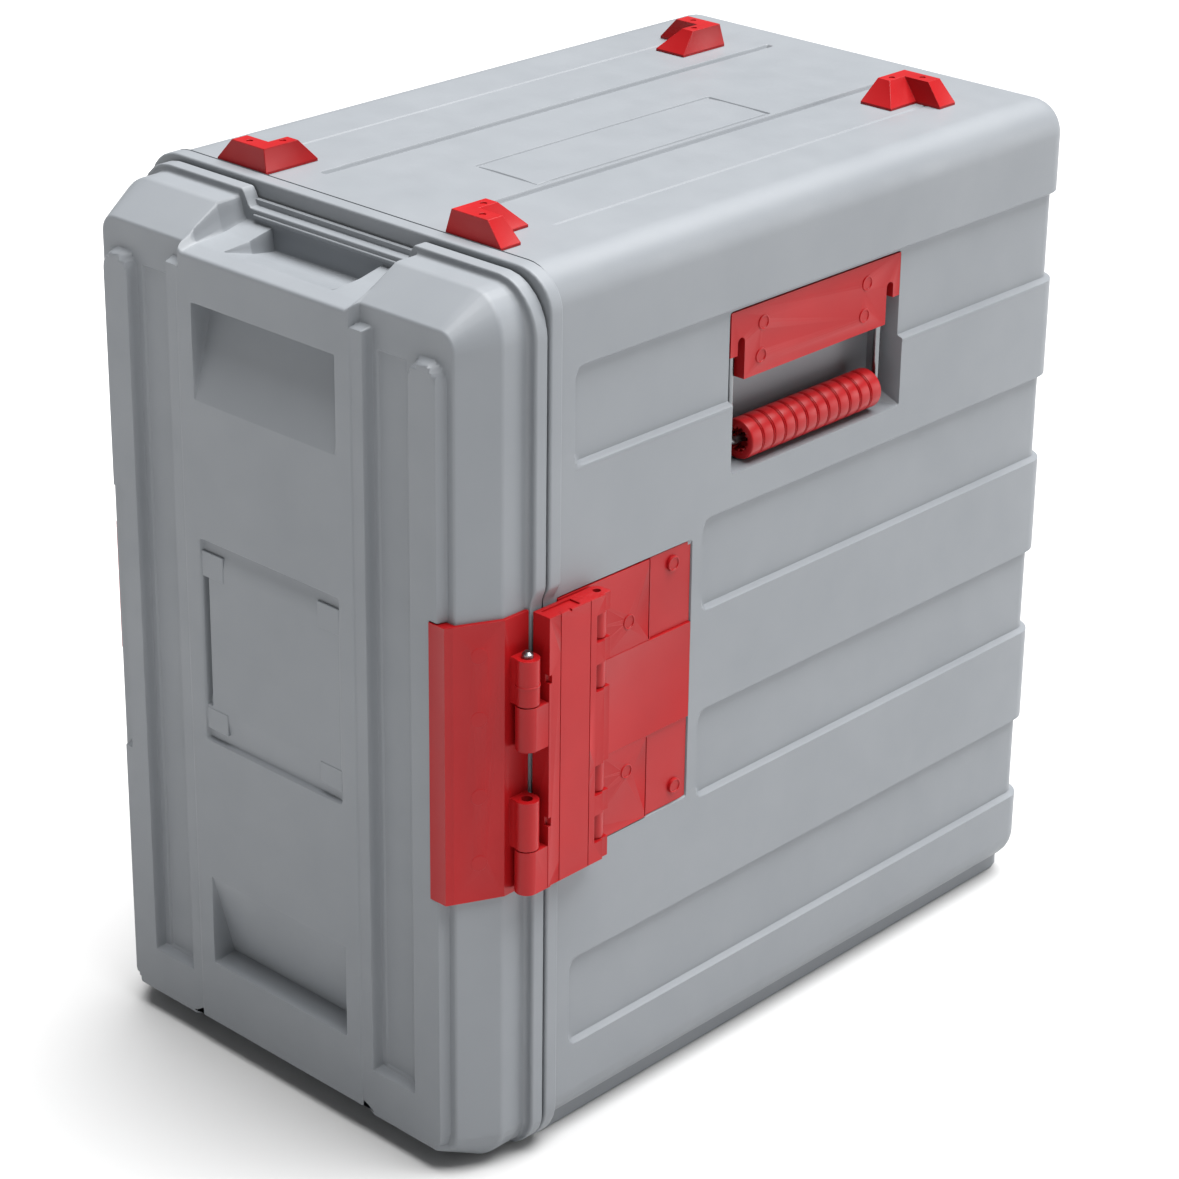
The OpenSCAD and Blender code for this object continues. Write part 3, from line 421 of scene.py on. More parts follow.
def door_shell():
    """The door's outer moulding: the front face, and rings round the folds, the block and the flange."""
    x_end = FOLD_X - INSET
    xs = grid_lines(-x_end, x_end, 9, DOOR_X_SLOPES)
    zs = grid_lines(FOLD_Z[0] + INSET, FOLD_Z[1] - INSET, 10, DOOR_Z_SLOPES)
    pan = Pan(xs, zs, 10)
    face_y = door_face(pan.x, pan.z)

    # the notch between the shoulders lowers the top edge of the end face
    in_notch = 1 - ramp(np.abs(pan.x), NOTCH_X, NOTCH_HALF)
    fade = np.clip((pan.z - NOTCH_FADE_Z) / (zs[-1] - NOTCH_FADE_Z), 0, 1)
    pan.z = pan.z - (zs[-1] - NOTCH_Z) * in_notch * fade

    abs_x = np.abs(pan.bx)
    block_notch = 1 - ramp(abs_x, NOTCH_X, NOTCH_HALF)
    flange_notch = 1 - ramp(abs_x, NOTCH_X - 4, 5)
    in_gap = 1 - ramp(abs_x, FOOT_GAP_X, 5)
    in_finger = 1 - ramp(abs_x, FINGER_X, FINGER_HALF)
    raised = door_raise(pan.bx, pan.bz)
    raise_end = -45                     # the raised parts run out on the folds at this depth
    side, top, notch, bottom = door_outlines(x_end, zs[0], zs[-1])
    rings = []
    for k in range(1, len(side)):
        in_block = side[k, 0] < BLOCK_X + 2 and side[k, 1] < -6.5
        notched = block_notch if in_block else flange_notch
        z_top = top[k, 0] + (notch[k, 0] - top[k, 0]) * notched
        y_top = top[k, 1] + (notch[k, 1] - top[k, 1]) * notched
        z_bottom = bottom[k, 0] + (FOOT_GAP * in_gap if in_block else 0)
        if in_block or side[k, 0] > SEAT_X + 0.5:
            x, z = pan.ring(side[k, 0] - x_end, z_top - zs[-1], zs[0] - z_bottom)
        else:
            x, z = pan.outline(side[k, 0], bottom[k, 0], top[k, 0], BACK_EDGE_R)
        y = pan.turned(side[k, 1], y_top, bottom[k, 1])
        y = y - RAISE * raised * np.clip((raise_end - y) / (raise_end - FACE_Y), 0, 1)
        if in_block:
            depth = FINGER_DEPTH * np.clip((y - FINGER_Y[0]) / (FINGER_Y[1] - FINGER_Y[0]), 0, 1)
            z = z - np.where(pan.nz > 0, depth * in_finger, 0)
        rings.append((pan.dipped(x, z), y, z))
    return pan.build("door_shell_moulding", face_y, rings, -1)


# ---------- the body's moulded shell ----------

BACK_R = 22                             # the rounded edges round the back
FLOOR_Z = 12                            # the underside of the walls
WALL_Y = 16                             # the plain walls start here, behind the rim
BAND_DEPTH, BAND_R, LEDGE_HALF, EAVE_HALF = 5, 12, 1.3, 1.2
BAND_LOW, BAND_HEIGHT, BAND_PITCH = 79, 74, 159
BAND_Z = [(BAND_LOW + BAND_PITCH * i, BAND_LOW + BAND_PITCH * i + BAND_HEIGHT) for i in range(4)]
LONG_BAND_Y, SHORT_BAND_Y = 32, 172     # where the bands start; the short ones stop behind the hinge plate
RECESS_Y, RECESS_Z, RECESS_HALF = (201, 401), (500, 626), 0.7    # the recess of the handle
RECESS_DEPTH, RECESS_RISE, RECESS_SHELF = 35.2, 12.7, (580, 17)
BED_Y = (PLATE_LO.y - FRONT_Y - 0.5, PLATE_HI.y - FRONT_Y + 0.5) # the bed of the hinge plate
PLATE_BED_Z, PLATE_BED_DEPTH = (PLATE_LO.z - 0.5, PLATE_HI.z + 0.5), 5.4
CUT_R = 4                               # the corners of recess and bed
LIP_HEIGHT, LIP_HALF = 0.3, 0.9         # a fine lip under each band
GROOVE_X, GROOVE_WIDE, GROOVE_DEPTH, GROOVE_HALF = 70, 3.2, 3.4, 1.2
GROOVE_Y = (48, DEPTH - 52)
LABEL_X, LABEL_Y = (-4, 62), (141, 406) # a blank frame on the top
LABEL_WIDE, LABEL_DEPTH, LABEL_HALF = 2, 1.5, 0.6
CREASE_X, CREASE_WIDE, CREASE_DEPTH, CREASE_HALF = 135, 1.0, 0.9, 0.8
CREASE_Y, CREASE_FADE = (84, DEPTH - 84), 3                      # the creases end between the lugs


def about(place, reach):
    """The span that reaches as far to both sides of a place."""
    return (place - reach, place + reach)


def inside_frame(span):
    """The inside of the label's frame."""
    return (span[0] + LABEL_WIDE, span[1] - LABEL_WIDE)


BODY_X_SLOPES = both_sides(both_ends(about(GROOVE_X, GROOVE_WIDE), GROOVE_HALF)
                           + both_ends(about(CREASE_X, CREASE_WIDE), CREASE_HALF))
BODY_X_SLOPES += both_ends(LABEL_X + inside_frame(LABEL_X), LABEL_HALF)
BODY_Y_SLOPES = (
    both_ends((LONG_BAND_Y, SHORT_BAND_Y), STEP) + both_ends((LONG_BAND_Y + 6, SHORT_BAND_Y + 6), 5)
    + both_ends(RECESS_Y + BED_Y, RECESS_HALF) + both_ends(GROOVE_Y, 1.4)
    + both_ends(LABEL_Y + inside_frame(LABEL_Y), LABEL_HALF) + both_ends(CREASE_Y, CREASE_FADE))
BODY_Z_SLOPES = both_ends(RECESS_Z + PLATE_BED_Z, RECESS_HALF) + [RECESS_SHELF] + both_ends(DIP_Z, DIP_HALF)
for band_low, band_high in BAND_Z:
    BODY_Z_SLOPES += [(band_low - 3.6, LIP_HALF), (band_low, LEDGE_HALF), (band_low + 7, 5)]
    BODY_Z_SLOPES += [(band_high - 6, 5), (band_high, EAVE_HALF)]


def band_depth(z, low, high):
    """How far a band from low to high is sunk at z."""
    return BAND_DEPTH * ramp(z, low, LEDGE_HALF) * (1 - ramp(z, high, EAVE_HALF))


def side_depth(y, z):
    """How far the side walls are sunk at y, z."""
    depth = np.zeros_like(z)
    for i, (low, high) in enumerate(BAND_Z):
        start = LONG_BAND_Y if i in (0, 3) else SHORT_BAND_Y
        front = patch(y, z, (start, ABOVE), (low - 2, high + 1.5), BAND_R, STEP)
        lip = window(z, low - 3.6, low - 1.2, LIP_HALF) * ramp(y, start, 2)
        depth = np.maximum(depth, band_depth(z, low, high) * front) - LIP_HEIGHT * lip
    floor = RECESS_DEPTH - RECESS_RISE * ramp(z, *RECESS_SHELF)
    recess = patch(y, z, RECESS_Y, RECESS_Z, CUT_R, RECESS_HALF)
    depth = depth * (1 - recess) + floor * recess
    bed = patch(y, z, BED_Y, PLATE_BED_Z, CUT_R, RECESS_HALF)
    return depth * (1 - bed) + PLATE_BED_DEPTH * bed


def top_depth(x, y):
    """How far the top is sunk at x, y: two grooves, two creases and the outline of a blank label."""
    grooves = sum(patch(x, y, about(middle, GROOVE_WIDE), GROOVE_Y, 3, GROOVE_HALF)
                  for middle in (-GROOVE_X, GROOVE_X))
    outer = patch(x, y, LABEL_X, LABEL_Y, 2, LABEL_HALF)
    inner = patch(x, y, inside_frame(LABEL_X), inside_frame(LABEL_Y), 2, LABEL_HALF)
    creases = sum(window(x, *about(middle, CREASE_WIDE), CREASE_HALF) for middle in (-CREASE_X, CREASE_X))
    creases = creases * window(y, *CREASE_Y, CREASE_FADE)
    return GROOVE_DEPTH * grooves + LABEL_DEPTH * (outer - inner) + CREASE_DEPTH * creases


def back_depth(z):
    """How far the back is sunk at z."""
    return np.maximum.reduce([np.zeros_like(z)] + [band_depth(z, low, high) for low, high in BAND_Z])


def rim_outlines():
    """The front rim, as lines of (x or z, depth) at the sides, top and bottom."""
    rim, inside, lining = 12, 7, 183    # the rim's depth, the depth of its inner step, and the lining's width
    side = [(SIDE_X, WALL_Y, 0), (SIDE_X, rim, 2), (RIM_X + 0.6, rim, 1.8), (RIM_X + 0.6, 0, 2.2),
            (lining, 0, 1), (lining, inside, 0)]
    top = [(TOP_Z, WALL_Y, 0), (TOP_Z, rim, 2), (TOP_Z + 1.4, rim, 0.6), (TOP_Z + 1.4, 0, 2.2),
           (680, 0, 1), (680, inside, 0)]
    bottom = [(FLOOR_Z, WALL_Y, 0), (FLOOR_Z, rim, 2), (2, rim, 1.8), (2, 0, 2.2),
              (42, 0, 1), (42, inside, 0)]
    return [rounded_line(points) for points in (side, top, bottom)]


def body_shell():
    """The body's outer moulding: the back, and rings round its edge, the walls, the rim and the opening."""
    x_end, corner_y = SIDE_X - BACK_R, DEPTH - BACK_R
    z_low, z_high = FLOOR_Z + BACK_R, TOP_Z - BACK_R
    xs = grid_lines(-x_end, x_end, 14, BODY_X_SLOPES + both_sides([(x_end - 3, 3)]))
    zs = grid_lines(z_low, z_high, 13, BODY_Z_SLOPES + [(z_low + 3, 3), (z_high - 3, 3)])
    pan = Pan(xs, zs, 6)
    face_y = DEPTH - back_depth(pan.z)

    rings = []
    for angle in np.linspace(0, math.pi / 2, 9)[1:]:
        out, turn = BACK_R * math.sin(angle), math.cos(angle)
        x, z = pan.ring(out, out, out)
        inward = back_depth(z) * np.abs(pan.nx)
        rings.append((x - pan.nx * inward * math.sin(angle), corner_y + BACK_R * turn - inward * turn, z))
    for y in grid_lines(WALL_Y, corner_y, 14, BODY_Y_SLOPES)[:-1][::-1]:
        x, z = pan.ring(BACK_R, BACK_R, BACK_R)
        x = x - pan.nx * np.where(np.abs(pan.nx) > 0.999, side_depth(y, z), 0)
        z = z - np.where(pan.nz > 0.999, top_depth(x, y), 0)
        rings.append((x, np.full_like(x, y), z))
    side, top, bottom = rim_outlines()
    for k in range(1, len(side)):
        if side[k, 0] > SEAT_X:
            x, z = pan.ring(side[k, 0] - x_end, top[k, 0] - zs[-1], zs[0] - bottom[k, 0])
        else:
            x, z = pan.outline(side[k, 0], bottom[k, 0], top[k, 0], BACK_EDGE_R)
        rings.append((pan.dipped(x, z), pan.turned(side[k, 1], top[k, 1], bottom[k, 1]), z))
    for y in (7, DEPTH - 42):           # the hole that the liner fills
        x, z = pan.outline(168.2, 57, 665, 9)
        rings.append((x, np.full_like(x, y), z))
    return pan.build("body_shell_moulding", face_y, rings, 1)


# ---------- the foot under the body ----------

PLINTH_TOP, PLINTH_EASE = 14.5, 1.5
PLINTH_INSET, PLINTH_FRONT, PLINTH_R = 21, 8, 12
LUG_X, LUG_Y, LUG_THICK, LUG_ARMS = 93, 14, 21.5, (56.5, 53.5)  # the room for one lug of the carrier below


def plinth_quarter(shrink):
    """The front right quarter of the plinth's outline with its lug pocket, as (x, y, rounding)."""
    edge_x, edge_y = RIM_X - PLINTH_INSET - shrink, PLINTH_FRONT + shrink
    near_x, near_y = LUG_X + shrink, LUG_Y + LUG_THICK
    deep_x, deep_y = near_x + LUG_THICK, LUG_Y + LUG_ARMS[1]
    far_x = near_x + LUG_ARMS[0]
    return [(near_x, edge_y, 0), (near_x, deep_y, 2), (deep_x, deep_y, 2), (deep_x, near_y, 2),
            (far_x, near_y, 2), (far_x, edge_y, 0.01), (edge_x, edge_y, PLINTH_R)]


def plinth():
    """The foot under the body, open at its corners for the lugs of the carrier below."""
    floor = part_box("body_outer_shell")[0].z / MM
    loops = []
    for z, shrink in ((PLINTH_TOP, 0), (floor + PLINTH_EASE, 0), (floor, PLINTH_EASE)):
        front = plinth_quarter(shrink)
        half = front + [(x, DEPTH - y, reach) for x, y, reach in front[::-1]]
        loop = half + [(-x, y, reach) for x, y, reach in half[::-1]]
        closed = rounded_line([loop[-1]] + loop + [loop[0]], 3)[1:-1]
        loops.append(np.column_stack([closed, np.full(len(closed), z)]))
    count = len(loops[0])
    around = [(i, (i + 1) % count) for i in range(count)]
    faces = [[k * count + i, k * count + j, (k + 1) * count + j, (k + 1) * count + i]
             for k in range(len(loops) - 1) for i, j in around]
    faces.append(list(range(count))[::-1])
    faces.append([(len(loops) - 1) * count + i for i in range(count)])
    return mesh_object("body_plinth", np.concatenate(loops), faces)


# ---------- tools for the fittings ----------

WELD = 2e-6                             # metres; CAD points closer than this are one
FLAT_AREA = 60                          # square mm; a fitting's faces larger than this are flat
SHARP_ANGLE, EASED_ANGLE = 36, 24       # degrees; edges sharper than this are shaded as edges
EASE_ANGLE, EASE_SEGMENTS = 32, 3       # the CAD edges sharper than this are rounded off, in so many steps
BOX_FACES = ((0, 1, 3, 2), (4, 6, 7, 5), (0, 4, 5, 1), (2, 3, 7, 6), (0, 2, 6, 4), (1, 5, 7, 3))


def box(x_span, y_span, z_span):
    """The low and the high corner of a box."""
    return tuple(zip(x_span, y_span, z_span))


def boxes_mesh(name, boxes):
    """One object made of the boxes."""
    points, faces = [], []
    for low, high in boxes:
        first = len(points)
        points += itertools.product(*zip(low, high))
        faces += [[first + corner for corner in face] for face in BOX_FACES]
    return mesh_object(name, points, faces)


def apply_modifiers(obj):
    """Turns the object's modifiers into its mesh."""
    bpy.context.view_layer.update()
    evaluated = obj.evaluated_get(bpy.context.evaluated_depsgraph_get())
    final = bpy.data.meshes.new_from_object(evaluated)
    obj.modifiers.clear()
    obj.data = final


def evened(obj, angle=SHARP_ANGLE):
    """The object shaded so that its flat faces look flat and only its edges look rounded."""
    obj.data.set_sharp_from_angle(angle=math.radians(angle))
    even = obj.modifiers.new("even", "WEIGHTED_NORMAL")
    even.weight = 100
    even.keep_sharp = True
    apply_modifiers(obj)
    return obj


def add_bevel(obj, width):
    """Rounds all edges off; the modifier is returned, still to be applied."""
    bevel = obj.modifiers.new("ease", "BEVEL")
    bevel.width = width * MM
    bevel.segments = EASE_SEGMENTS
    return bevel


def rounded_boxes(name, boxes, width):
    """One object made of the boxes, with rounded edges."""
    obj = boxes_mesh(name, boxes)
    add_bevel(obj, width)
    apply_modifiers(obj)
    return evened(obj)


def lathe(name, profile, centre, axis, steps=56):
    """A body of revolution from a closed profile (distance along the axis, radius)."""
    axis = np.array(axis, float) / np.linalg.norm(axis)
    across = np.cross(axis, (0, 0, 1) if abs(axis[2]) < 0.9 else (1, 0, 0))
    across /= np.linalg.norm(across)
    third = np.cross(axis, across)
    angles = np.linspace(0, 2 * math.pi, steps, endpoint=False)
    points = [np.array(centre) + t * axis + r * (math.cos(a) * across + math.sin(a) * third)
              for t, r in profile for a in angles]
    count = len(profile)
    faces = [[k * steps + i, k * steps + (i + 1) % steps,
              (k + 1) % count * steps + (i + 1) % steps, (k + 1) % count * steps + i]
             for k in range(count) for i in range(steps)]
    return evened(mesh_object(name, points, faces))


def joined(name, objects):
    """The objects as one."""
    for obj in bpy.context.selected_objects:
        obj.select_set(False)
    for obj in objects:
        obj.select_set(True)
    bpy.context.view_layer.objects.active = objects[0]
    bpy.ops.object.join()
    objects[0].name = objects[0].data.name = name
    return objects[0]


def welded(data):
    """A bmesh of the CAD mesh with its double points made one."""
    mesh = bmesh.new()
    mesh.from_mesh(data)
    bmesh.ops.remove_doubles(mesh, verts=mesh.verts, dist=WELD)
    return mesh


def islands(node):
    """The points of each separate solid in a CAD node, in the working millimetres."""
    mesh = welded(nodes[node].data)
    left = set(mesh.verts)
    found = []
    while left:
        queue, members = [left.pop()], []
        while queue:
            vert = queue.pop()
            members.append(np.array(vert.co) / MM - [0, FRONT_Y, 0])
            for edge in vert.link_edges:
                other = edge.other_vert(vert)
                if other in left:
                    left.remove(other)
                    queue.append(other)
        found.append(np.array(members))
    mesh.free()
    return sorted(found, key=lambda points: points.mean(0).round(3).tolist())


def cad_copy(node):
    """A free copy of a CAD node, without the triangulation of its flat faces."""
    obj = nodes[node].copy()
    obj.data = nodes[node].data.copy()
    obj.name = obj.data.name = node + "_eased"
    obj.parent = None
    for key in list(obj.keys()):
        del obj[key]
    bpy.context.scene.collection.objects.link(obj)
    mesh = welded(obj.data)
    bmesh.ops.dissolve_limit(mesh, angle_limit=math.radians(1.0), verts=mesh.verts, edges=mesh.edges)
    mesh.to_mesh(obj.data)
    mesh.free()
    obj.data.shade_smooth()
    return obj


def add_bites(obj, bites):
    """Takes the boxes out of the object; the boxes' object is returned, to be removed after applying."""
    obj.modifiers.new("split", "TRIANGULATE").min_vertices = 5
    cutter = boxes_mesh("bites", bites)
    bite = obj.modifiers.new("bite", "BOOLEAN")
    bite.operation = "DIFFERENCE"
    bite.object = cutter
    bite.solver = "EXACT"
    bite.use_self = True
    return cutter


def eased(node, width, bites):
    """A copy of a CAD node with its sharp edges rounded off, then with box-shaped bites taken out of it."""
    obj = cad_copy(node)
    bevel = add_bevel(obj, width)
    bevel.limit_method = "ANGLE"
    bevel.angle_limit = math.radians(EASE_ANGLE)
    bevel.use_clamp_overlap = True
    cutter = add_bites(obj, bites) if bites else None
    apply_modifiers(obj)
    if cutter:
        bpy.data.objects.remove(cutter)
    evened(obj, EASED_ANGLE)
    for face in obj.data.polygons:
        if face.area > FLAT_AREA * MM * MM:
            face.use_smooth = False
    return obj


def push_in(obj, distance):
    """Moves a fitting's own copy in towards the middle of the carrier."""
    for vert in obj.data.vertices:
        vert.co.x -= math.copysign(distance * MM, vert.co.x)


# ---------- round marks over the rivets ----------

MARK_STEPS = 40
RING_MARK = [(-2, 6.2), (0, 6.1), (0.6, 5.9), (0.85, 5.5), (0.85, 5.1), (0.65, 4.8), (0.1, 4.5),
             (0.05, 0.05), (-2, 0.05)]
FLAT_MARK = [(-0.8, 6.7), (0.0, 6.6), (0.35, 6.3), (0.45, 5.9), (0.45, 0.05), (-0.8, 0.05)]
SIDEWAYS, CHAMFER = (1, 0, 0), (0.894, -0.447, 0)


def marks(node, normal, profile, sunk=0):
    """A round mark over each rivet of a CAD node; the normal is the right side's, mirrored for the left."""
    discs = []
    for points in islands(node):
        middle = (points.min(0) + points.max(0)) / 2
        axis = np.array(normal, float) / np.linalg.norm(normal)
        axis[0] *= np.sign(middle[0])
        centre = middle + axis * ((points @ axis).max() - middle @ axis - sunk)
        discs.append(lathe("disc", profile, centre, axis, MARK_STEPS))
    return joined(node + "_marks", discs)


# ---------- the hand grips ----------

GRIP_BARRELS, GRIP_SPLINES, GRIP_STEPS = 12, 12, 72
GRIP_SOCKET_R, GRIP_SOCKET, GRIP_BORE_R = 10, 9, 4.4             # the sockets' radius and depth, and the bore
GRIP_END = [(0, 3.4), (0, 1.4), (0.5, 0.5), (1.4, 0.1)]          # (distance from the end, below the surface)
GRIP_GROOVE = [(-1.9, 0.1), (-1.35, 0.5), (-1.1, 1.3), (-0.75, 1.3), (-0.55, 0.45)]
GRIP_RING = GRIP_GROOVE + [(0, 0.15)] + [(-t, sunk) for t, sunk in GRIP_GROOVE[::-1]]
SPLINE_FACES = [(0, 1, 2, 3), (7, 6, 5, 4), (0, 4, 5, 1), (1, 5, 6, 2), (2, 6, 7, 3), (3, 7, 4, 0)]


def grip_profile(half, radius):
    """The closed outline of a grip's wall: barrels parted by rings outside, sockets and a bore inside."""
    pitch = 2 * half / GRIP_BARRELS
    profile = [(-half + t, radius - sunk) for t, sunk in GRIP_END]
    for i in range(GRIP_BARRELS):
        start = -half + i * pitch
        if i:
            profile += [(start + t, radius - sunk) for t, sunk in GRIP_RING]
        profile.append((start + pitch / 2, radius))
    profile += [(half - t, radius - sunk) for t, sunk in GRIP_END[::-1]]
    bottom = half - GRIP_SOCKET
    socket = [(half - 0.8, GRIP_SOCKET_R), (bottom, GRIP_SOCKET_R), (bottom, GRIP_BORE_R)]
    return profile + socket + [(-t, r) for t, r in socket[::-1]]


def spline(x, z, near, far, angle):
    """One tooth of a grip's socket, from depth near to depth far."""
    outer, inner = GRIP_SOCKET_R + 0.8, GRIP_SOCKET_R - 1.9
    cos, sin = math.cos(angle), math.sin(angle)
    corners = [(x + r * cos - w * sin, z + r * sin + w * cos)
               for r, w in ((outer, -0.9), (inner, -0.6), (inner, 0.6), (outer, 0.9))]
    points = [(px, depth, pz) for depth in (near, far) for px, pz in corners]
    return mesh_object("spline", points, SPLINE_FACES)


def grip(name, node):
    """A hollow hand grip: smooth barrels parted by fine rings, with a splined socket at both ends."""
    low, high = (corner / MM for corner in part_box(node))
    centre = (low + high) / 2
    middle_y = centre.y - FRONT_Y
    half, radius = (high.y - low.y) / 2, (high.z - low.z) / 2
    tube = lathe("tube", grip_profile(half, radius), (centre.x, middle_y, centre.z), (0, 1, 0), GRIP_STEPS)
    splines = []
    for end in (-1, 1):
        near, far = (middle_y + end * (half - inwards) for inwards in (1.4, GRIP_SOCKET))
        for k in range(GRIP_SPLINES):
            splines.append(spline(centre.x, centre.z, near, far, 2 * math.pi * k / GRIP_SPLINES))
    return joined(name, [tube] + splines)


# ---------- what is cut out of the fittings, and small boxes ----------

LUGS = ["stacking_lug_%s_%s" % place for place in itertools.product(("front", "back"), ("right", "left"))]
EASE = {"hinge_link": 0.8, "hinge_body_plate": 0.6, "latch_body_plate": 0.6, "latch_lever": 1.0,
        "latch_hook": 0.8, "door_hinge_bracket": 0.8, "door_latch_bracket": 0.8,
        "handle_plate_right": 0.9, "handle_plate_left": 0.9, **dict.fromkeys(LUGS, 0.8),
        "body_inner_liner": 0.8, "door_inner_shell": 1.0}

LINK_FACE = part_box("hinge_link")[1].x / MM
LINK_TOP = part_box("hinge_link")[1].z / MM
CLEAR_X, CLEAR_TOP = LINK_FACE + 1, LINK_TOP + 1                 # cutting boxes end in the open
ALL_Z = (200, 500)                                               # well past the height of the hinge
WINDOWS_Z = [(258.2, 281.1), (297.5, 322.3), (382.5, 404.5), (422.0, 444.0)]
LINK_WINDOWS = [box((LINK_FACE - 8, CLEAR_X), (37.6, 53.9), span) for span in WINDOWS_Z]
LINK_CREASES = [box((LINK_FACE - 0.6, CLEAR_X), (y, y + 0.8), ALL_Z) for y in (-0.8, 30.0)]
LINK_NICK = box((LINK_FACE - 2.2, CLEAR_X), (8.8, 10.8), (LINK_TOP - 1.6, CLEAR_TOP))
LINK_TRAY = box((LINK_FACE - 13, LINK_FACE - 2.6), (-8, 22), (LINK_TOP - 1.3, CLEAR_TOP))
LINK_NOTCHES = [box((LINK_FACE - 4.5, CLEAR_X), (-13, -9.4), span) for span in ((406.5, 413), (291.5, 298.5))]
KNUCKLE_SLITS = [box((SIDE_X + 2, CLEAR_X), (36, 41.2), span) for span in WINDOWS_Z]
PLATE_FIELDS = [box((SIDE_X - 1.1, SIDE_X + 3), (113, 162), span) for span in ((240, 314), (393, 465))]
PLATE_CREASES = [box((SIDE_X - 2.2, SIDE_X + 3), (111.2, 112.2), span) for span in ((240, 313), (394, 465))]
KEEPER_FRONT = box((-230, -100), (-100, DOOR_FACE + 15), ALL_Z)  # no red shows at the door's left edge
BITES = {"hinge_link": LINK_WINDOWS + LINK_CREASES + [LINK_NICK, LINK_TRAY] + LINK_NOTCHES,
         "hinge_body_plate": KNUCKLE_SLITS + PLATE_FIELDS + PLATE_CREASES,
         "door_latch_bracket": [KEEPER_FRONT]}
PLATE_SUNK = 4.4                        # the handle plates lie flush with the band around them
PLATE_MARK_OUT = 0.6                    # the marks on the hinge and latch plates stand this far out

CARD_TAB_X, CARD_TAB_WIDE, CARD_TABS_Z = 64, 12, ((288, 306), (416, 437))
CARD_TABS = [box(about(x, CARD_TAB_WIDE), (DOOR_FACE + 0.2, DOOR_FACE + 7), span)
             for x in (-CARD_TAB_X, CARD_TAB_X) for span in CARD_TABS_Z]
FINGER_LEDGE = box((-78, 78), (-14.8, -11.5), (683.4, 686.4))
TAB_EASE = 0.8

FRONT_PIN = (215.5, -24.6)              # the lift-off pins' axis, in x and depth
SEAM_Z = 408                            # the seam of the door's upper knuckle
SEAM_RING = [(-0.9, 8.6), (-0.5, 9.45), (0.5, 9.45), (0.9, 8.6)]


# ---------- the scene ----------

FLOOR_HALF, FLOOR_TONE = 14, 0.58
WORLD_STRENGTH = 0.17
SUN_ENERGY, SUN_ANGLE, SUN_TILT = 8.1, 60, (-13, 5, 0)
FILL_AT, FILL_TARGET, FILL_ENERGY, FILL_SIZE = (2.9, 3.2, 1.3), (0, 0.1, 0.4), 52, 2.0
CAMERA_AT = (1.6750, -1.8321, 1.4462)
AZIMUTH, ELEVATION, ROLL = (math.radians(degrees) for degrees in (43.037, 22.773, 0.735))
LENS, SENSOR, SHIFT_Y, CLIP_END = 100.43, 36, -0.095, 60


def linked(name, data):
    """A new object in the scene."""
    obj = bpy.data.objects.new(name, data)
    bpy.context.scene.collection.objects.link(obj)
    return obj


def add_floor():
    """A pale floor without an end in sight."""
    mesh = bpy.data.meshes.new("floor")
    corners = [(-1, -1), (1, -1), (1, 1), (-1, 1)]
    mesh.from_pydata([(x * FLOOR_HALF, y * FLOOR_HALF, 0) for x, y in corners], [], [(0, 1, 2, 3)])
    mesh.materials.append(new_material("pale_floor", (FLOOR_TONE,) * 3, 0.9)[0])
    linked("floor", mesh)


def add_light():
    """Soft light from all round, from overhead and from the back on the right."""
    world = bpy.data.worlds.new("studio")
    world.use_nodes = True
    background = world.node_tree.nodes["Background"]
    background.inputs["Color"].default_value = (1, 1, 1, 1)
    background.inputs["Strength"].default_value = WORLD_STRENGTH
    bpy.context.scene.world = world

    sun = bpy.data.lights.new("overhead", "SUN")
    sun.energy = SUN_ENERGY
    sun.angle = math.radians(SUN_ANGLE)
    linked("overhead", sun).rotation_euler = [math.radians(degrees) for degrees in SUN_TILT]

    fill = bpy.data.lights.new("right_fill", "AREA")
    fill.energy = FILL_ENERGY
    fill.shape = "DISK"
    fill.size = FILL_SIZE
    lamp = linked("right_fill", fill)
    lamp.location = FILL_AT
    lamp.rotation_euler = (Vector(FILL_TARGET) - Vector(FILL_AT)).to_track_quat("-Z", "Y").to_euler()


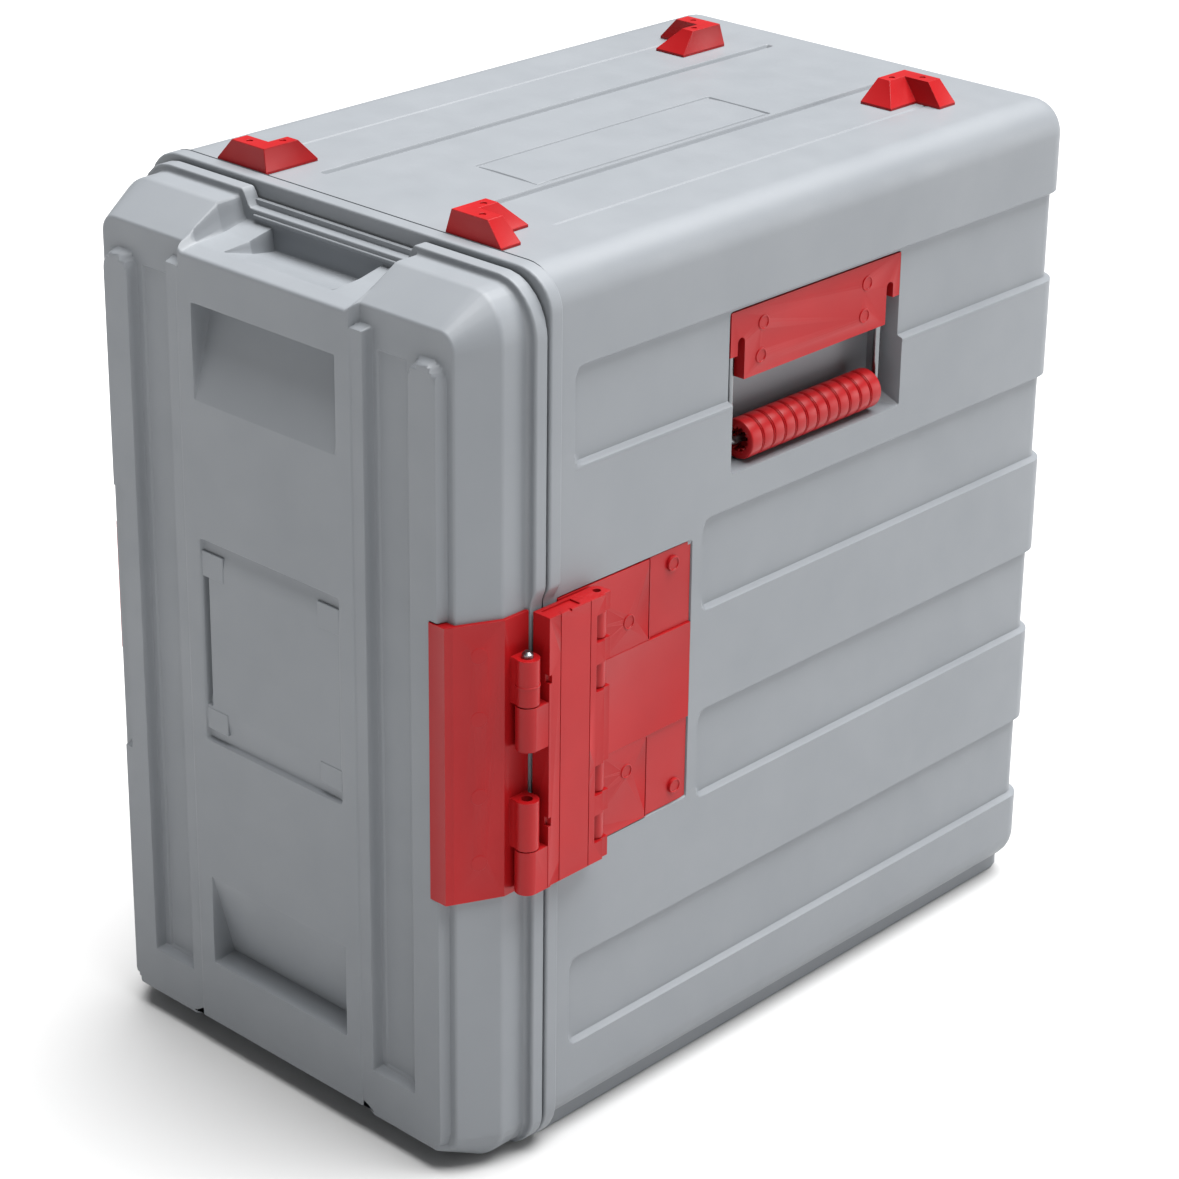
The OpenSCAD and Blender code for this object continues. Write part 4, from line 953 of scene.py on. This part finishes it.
def add_camera():
    """The camera of the photograph."""
    data = bpy.data.cameras.new("camera")
    data.lens = LENS
    data.sensor_width = SENSOR
    data.shift_y = SHIFT_Y
    data.clip_end = CLIP_END
    level = math.cos(ELEVATION)
    back = Vector((math.sin(AZIMUTH) * level, -math.cos(AZIMUTH) * level, math.sin(ELEVATION)))
    right = Vector((math.cos(AZIMUTH), math.sin(AZIMUTH), 0))
    up = back.cross(right)
    x_axis = right * math.cos(ROLL) + up * math.sin(ROLL)
    y_axis = up * math.cos(ROLL) - right * math.sin(ROLL)
    matrix = Matrix((x_axis, y_axis, back)).transposed().to_4x4()
    matrix.translation = Vector(CAMERA_AT)
    camera = linked("camera", data)
    camera.matrix_world = matrix
    bpy.context.scene.camera = camera
    bpy.context.scene.view_settings.view_transform = "Standard"


def place(obj, body, slot, *replaced):
    """Gives the piece its look and its body, and hides the CAD nodes it stands for."""
    dress(obj, slot)
    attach(obj, body)
    if replaced:
        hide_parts(*replaced)
    return obj


def main():
    """Builds every piece and the studio round them."""
    for name, obj in nodes.items():
        obj.data.materials.clear()
        obj.data.materials.append(BY_SLOT[SLOT_OF_NODE[name]])
    place(evened(door_shell()), "door", "grey_shell", "door_outer_shell", "door_insulation")
    place(evened(body_shell()), "body", "grey_shell", "body_outer_shell", "body_insulation")
    for name, width in EASE.items():
        fitting = eased(name, width, BITES.get(name))
        if name.startswith("handle_plate"):
            push_in(fitting, PLATE_SUNK)
        place(fitting, BODY_OF_NODE[name], SLOT_OF_NODE[name], name)
    for side in ("right", "left"):
        node = "handle_grip_" + side
        place(grip("hand_grip_" + side, node), "grip_" + side, "red_fittings", node)
    for node in ("hinge_plate_rivets", "latch_plate_rivets"):
        place(marks(node, SIDEWAYS, RING_MARK, -PLATE_MARK_OUT), "body", "red_fittings", node)
    handle_marks = marks("handle_plate_rivets", SIDEWAYS, RING_MARK, PLATE_SUNK)
    place(handle_marks, "body", "red_fittings", "handle_plate_rivets")
    place(marks("door_bracket_rivets", CHAMFER, FLAT_MARK), "door", "red_fittings", "door_bracket_rivets")
    card_tabs = rounded_boxes("card_tabs", CARD_TABS + [FINGER_LEDGE], TAB_EASE)
    place(card_tabs, "door", "grey_shell", "card_holder")
    seam_ring = lathe("knuckle_seam", SEAM_RING, (*FRONT_PIN, SEAM_Z), (0, 0, 1))
    place(seam_ring, "door", "red_fittings", "door_hinge_bracket")
    place(evened(plinth()), "body", "grey_shell", "body_outer_shell")
    add_floor()
    add_light()
    add_camera()


main()
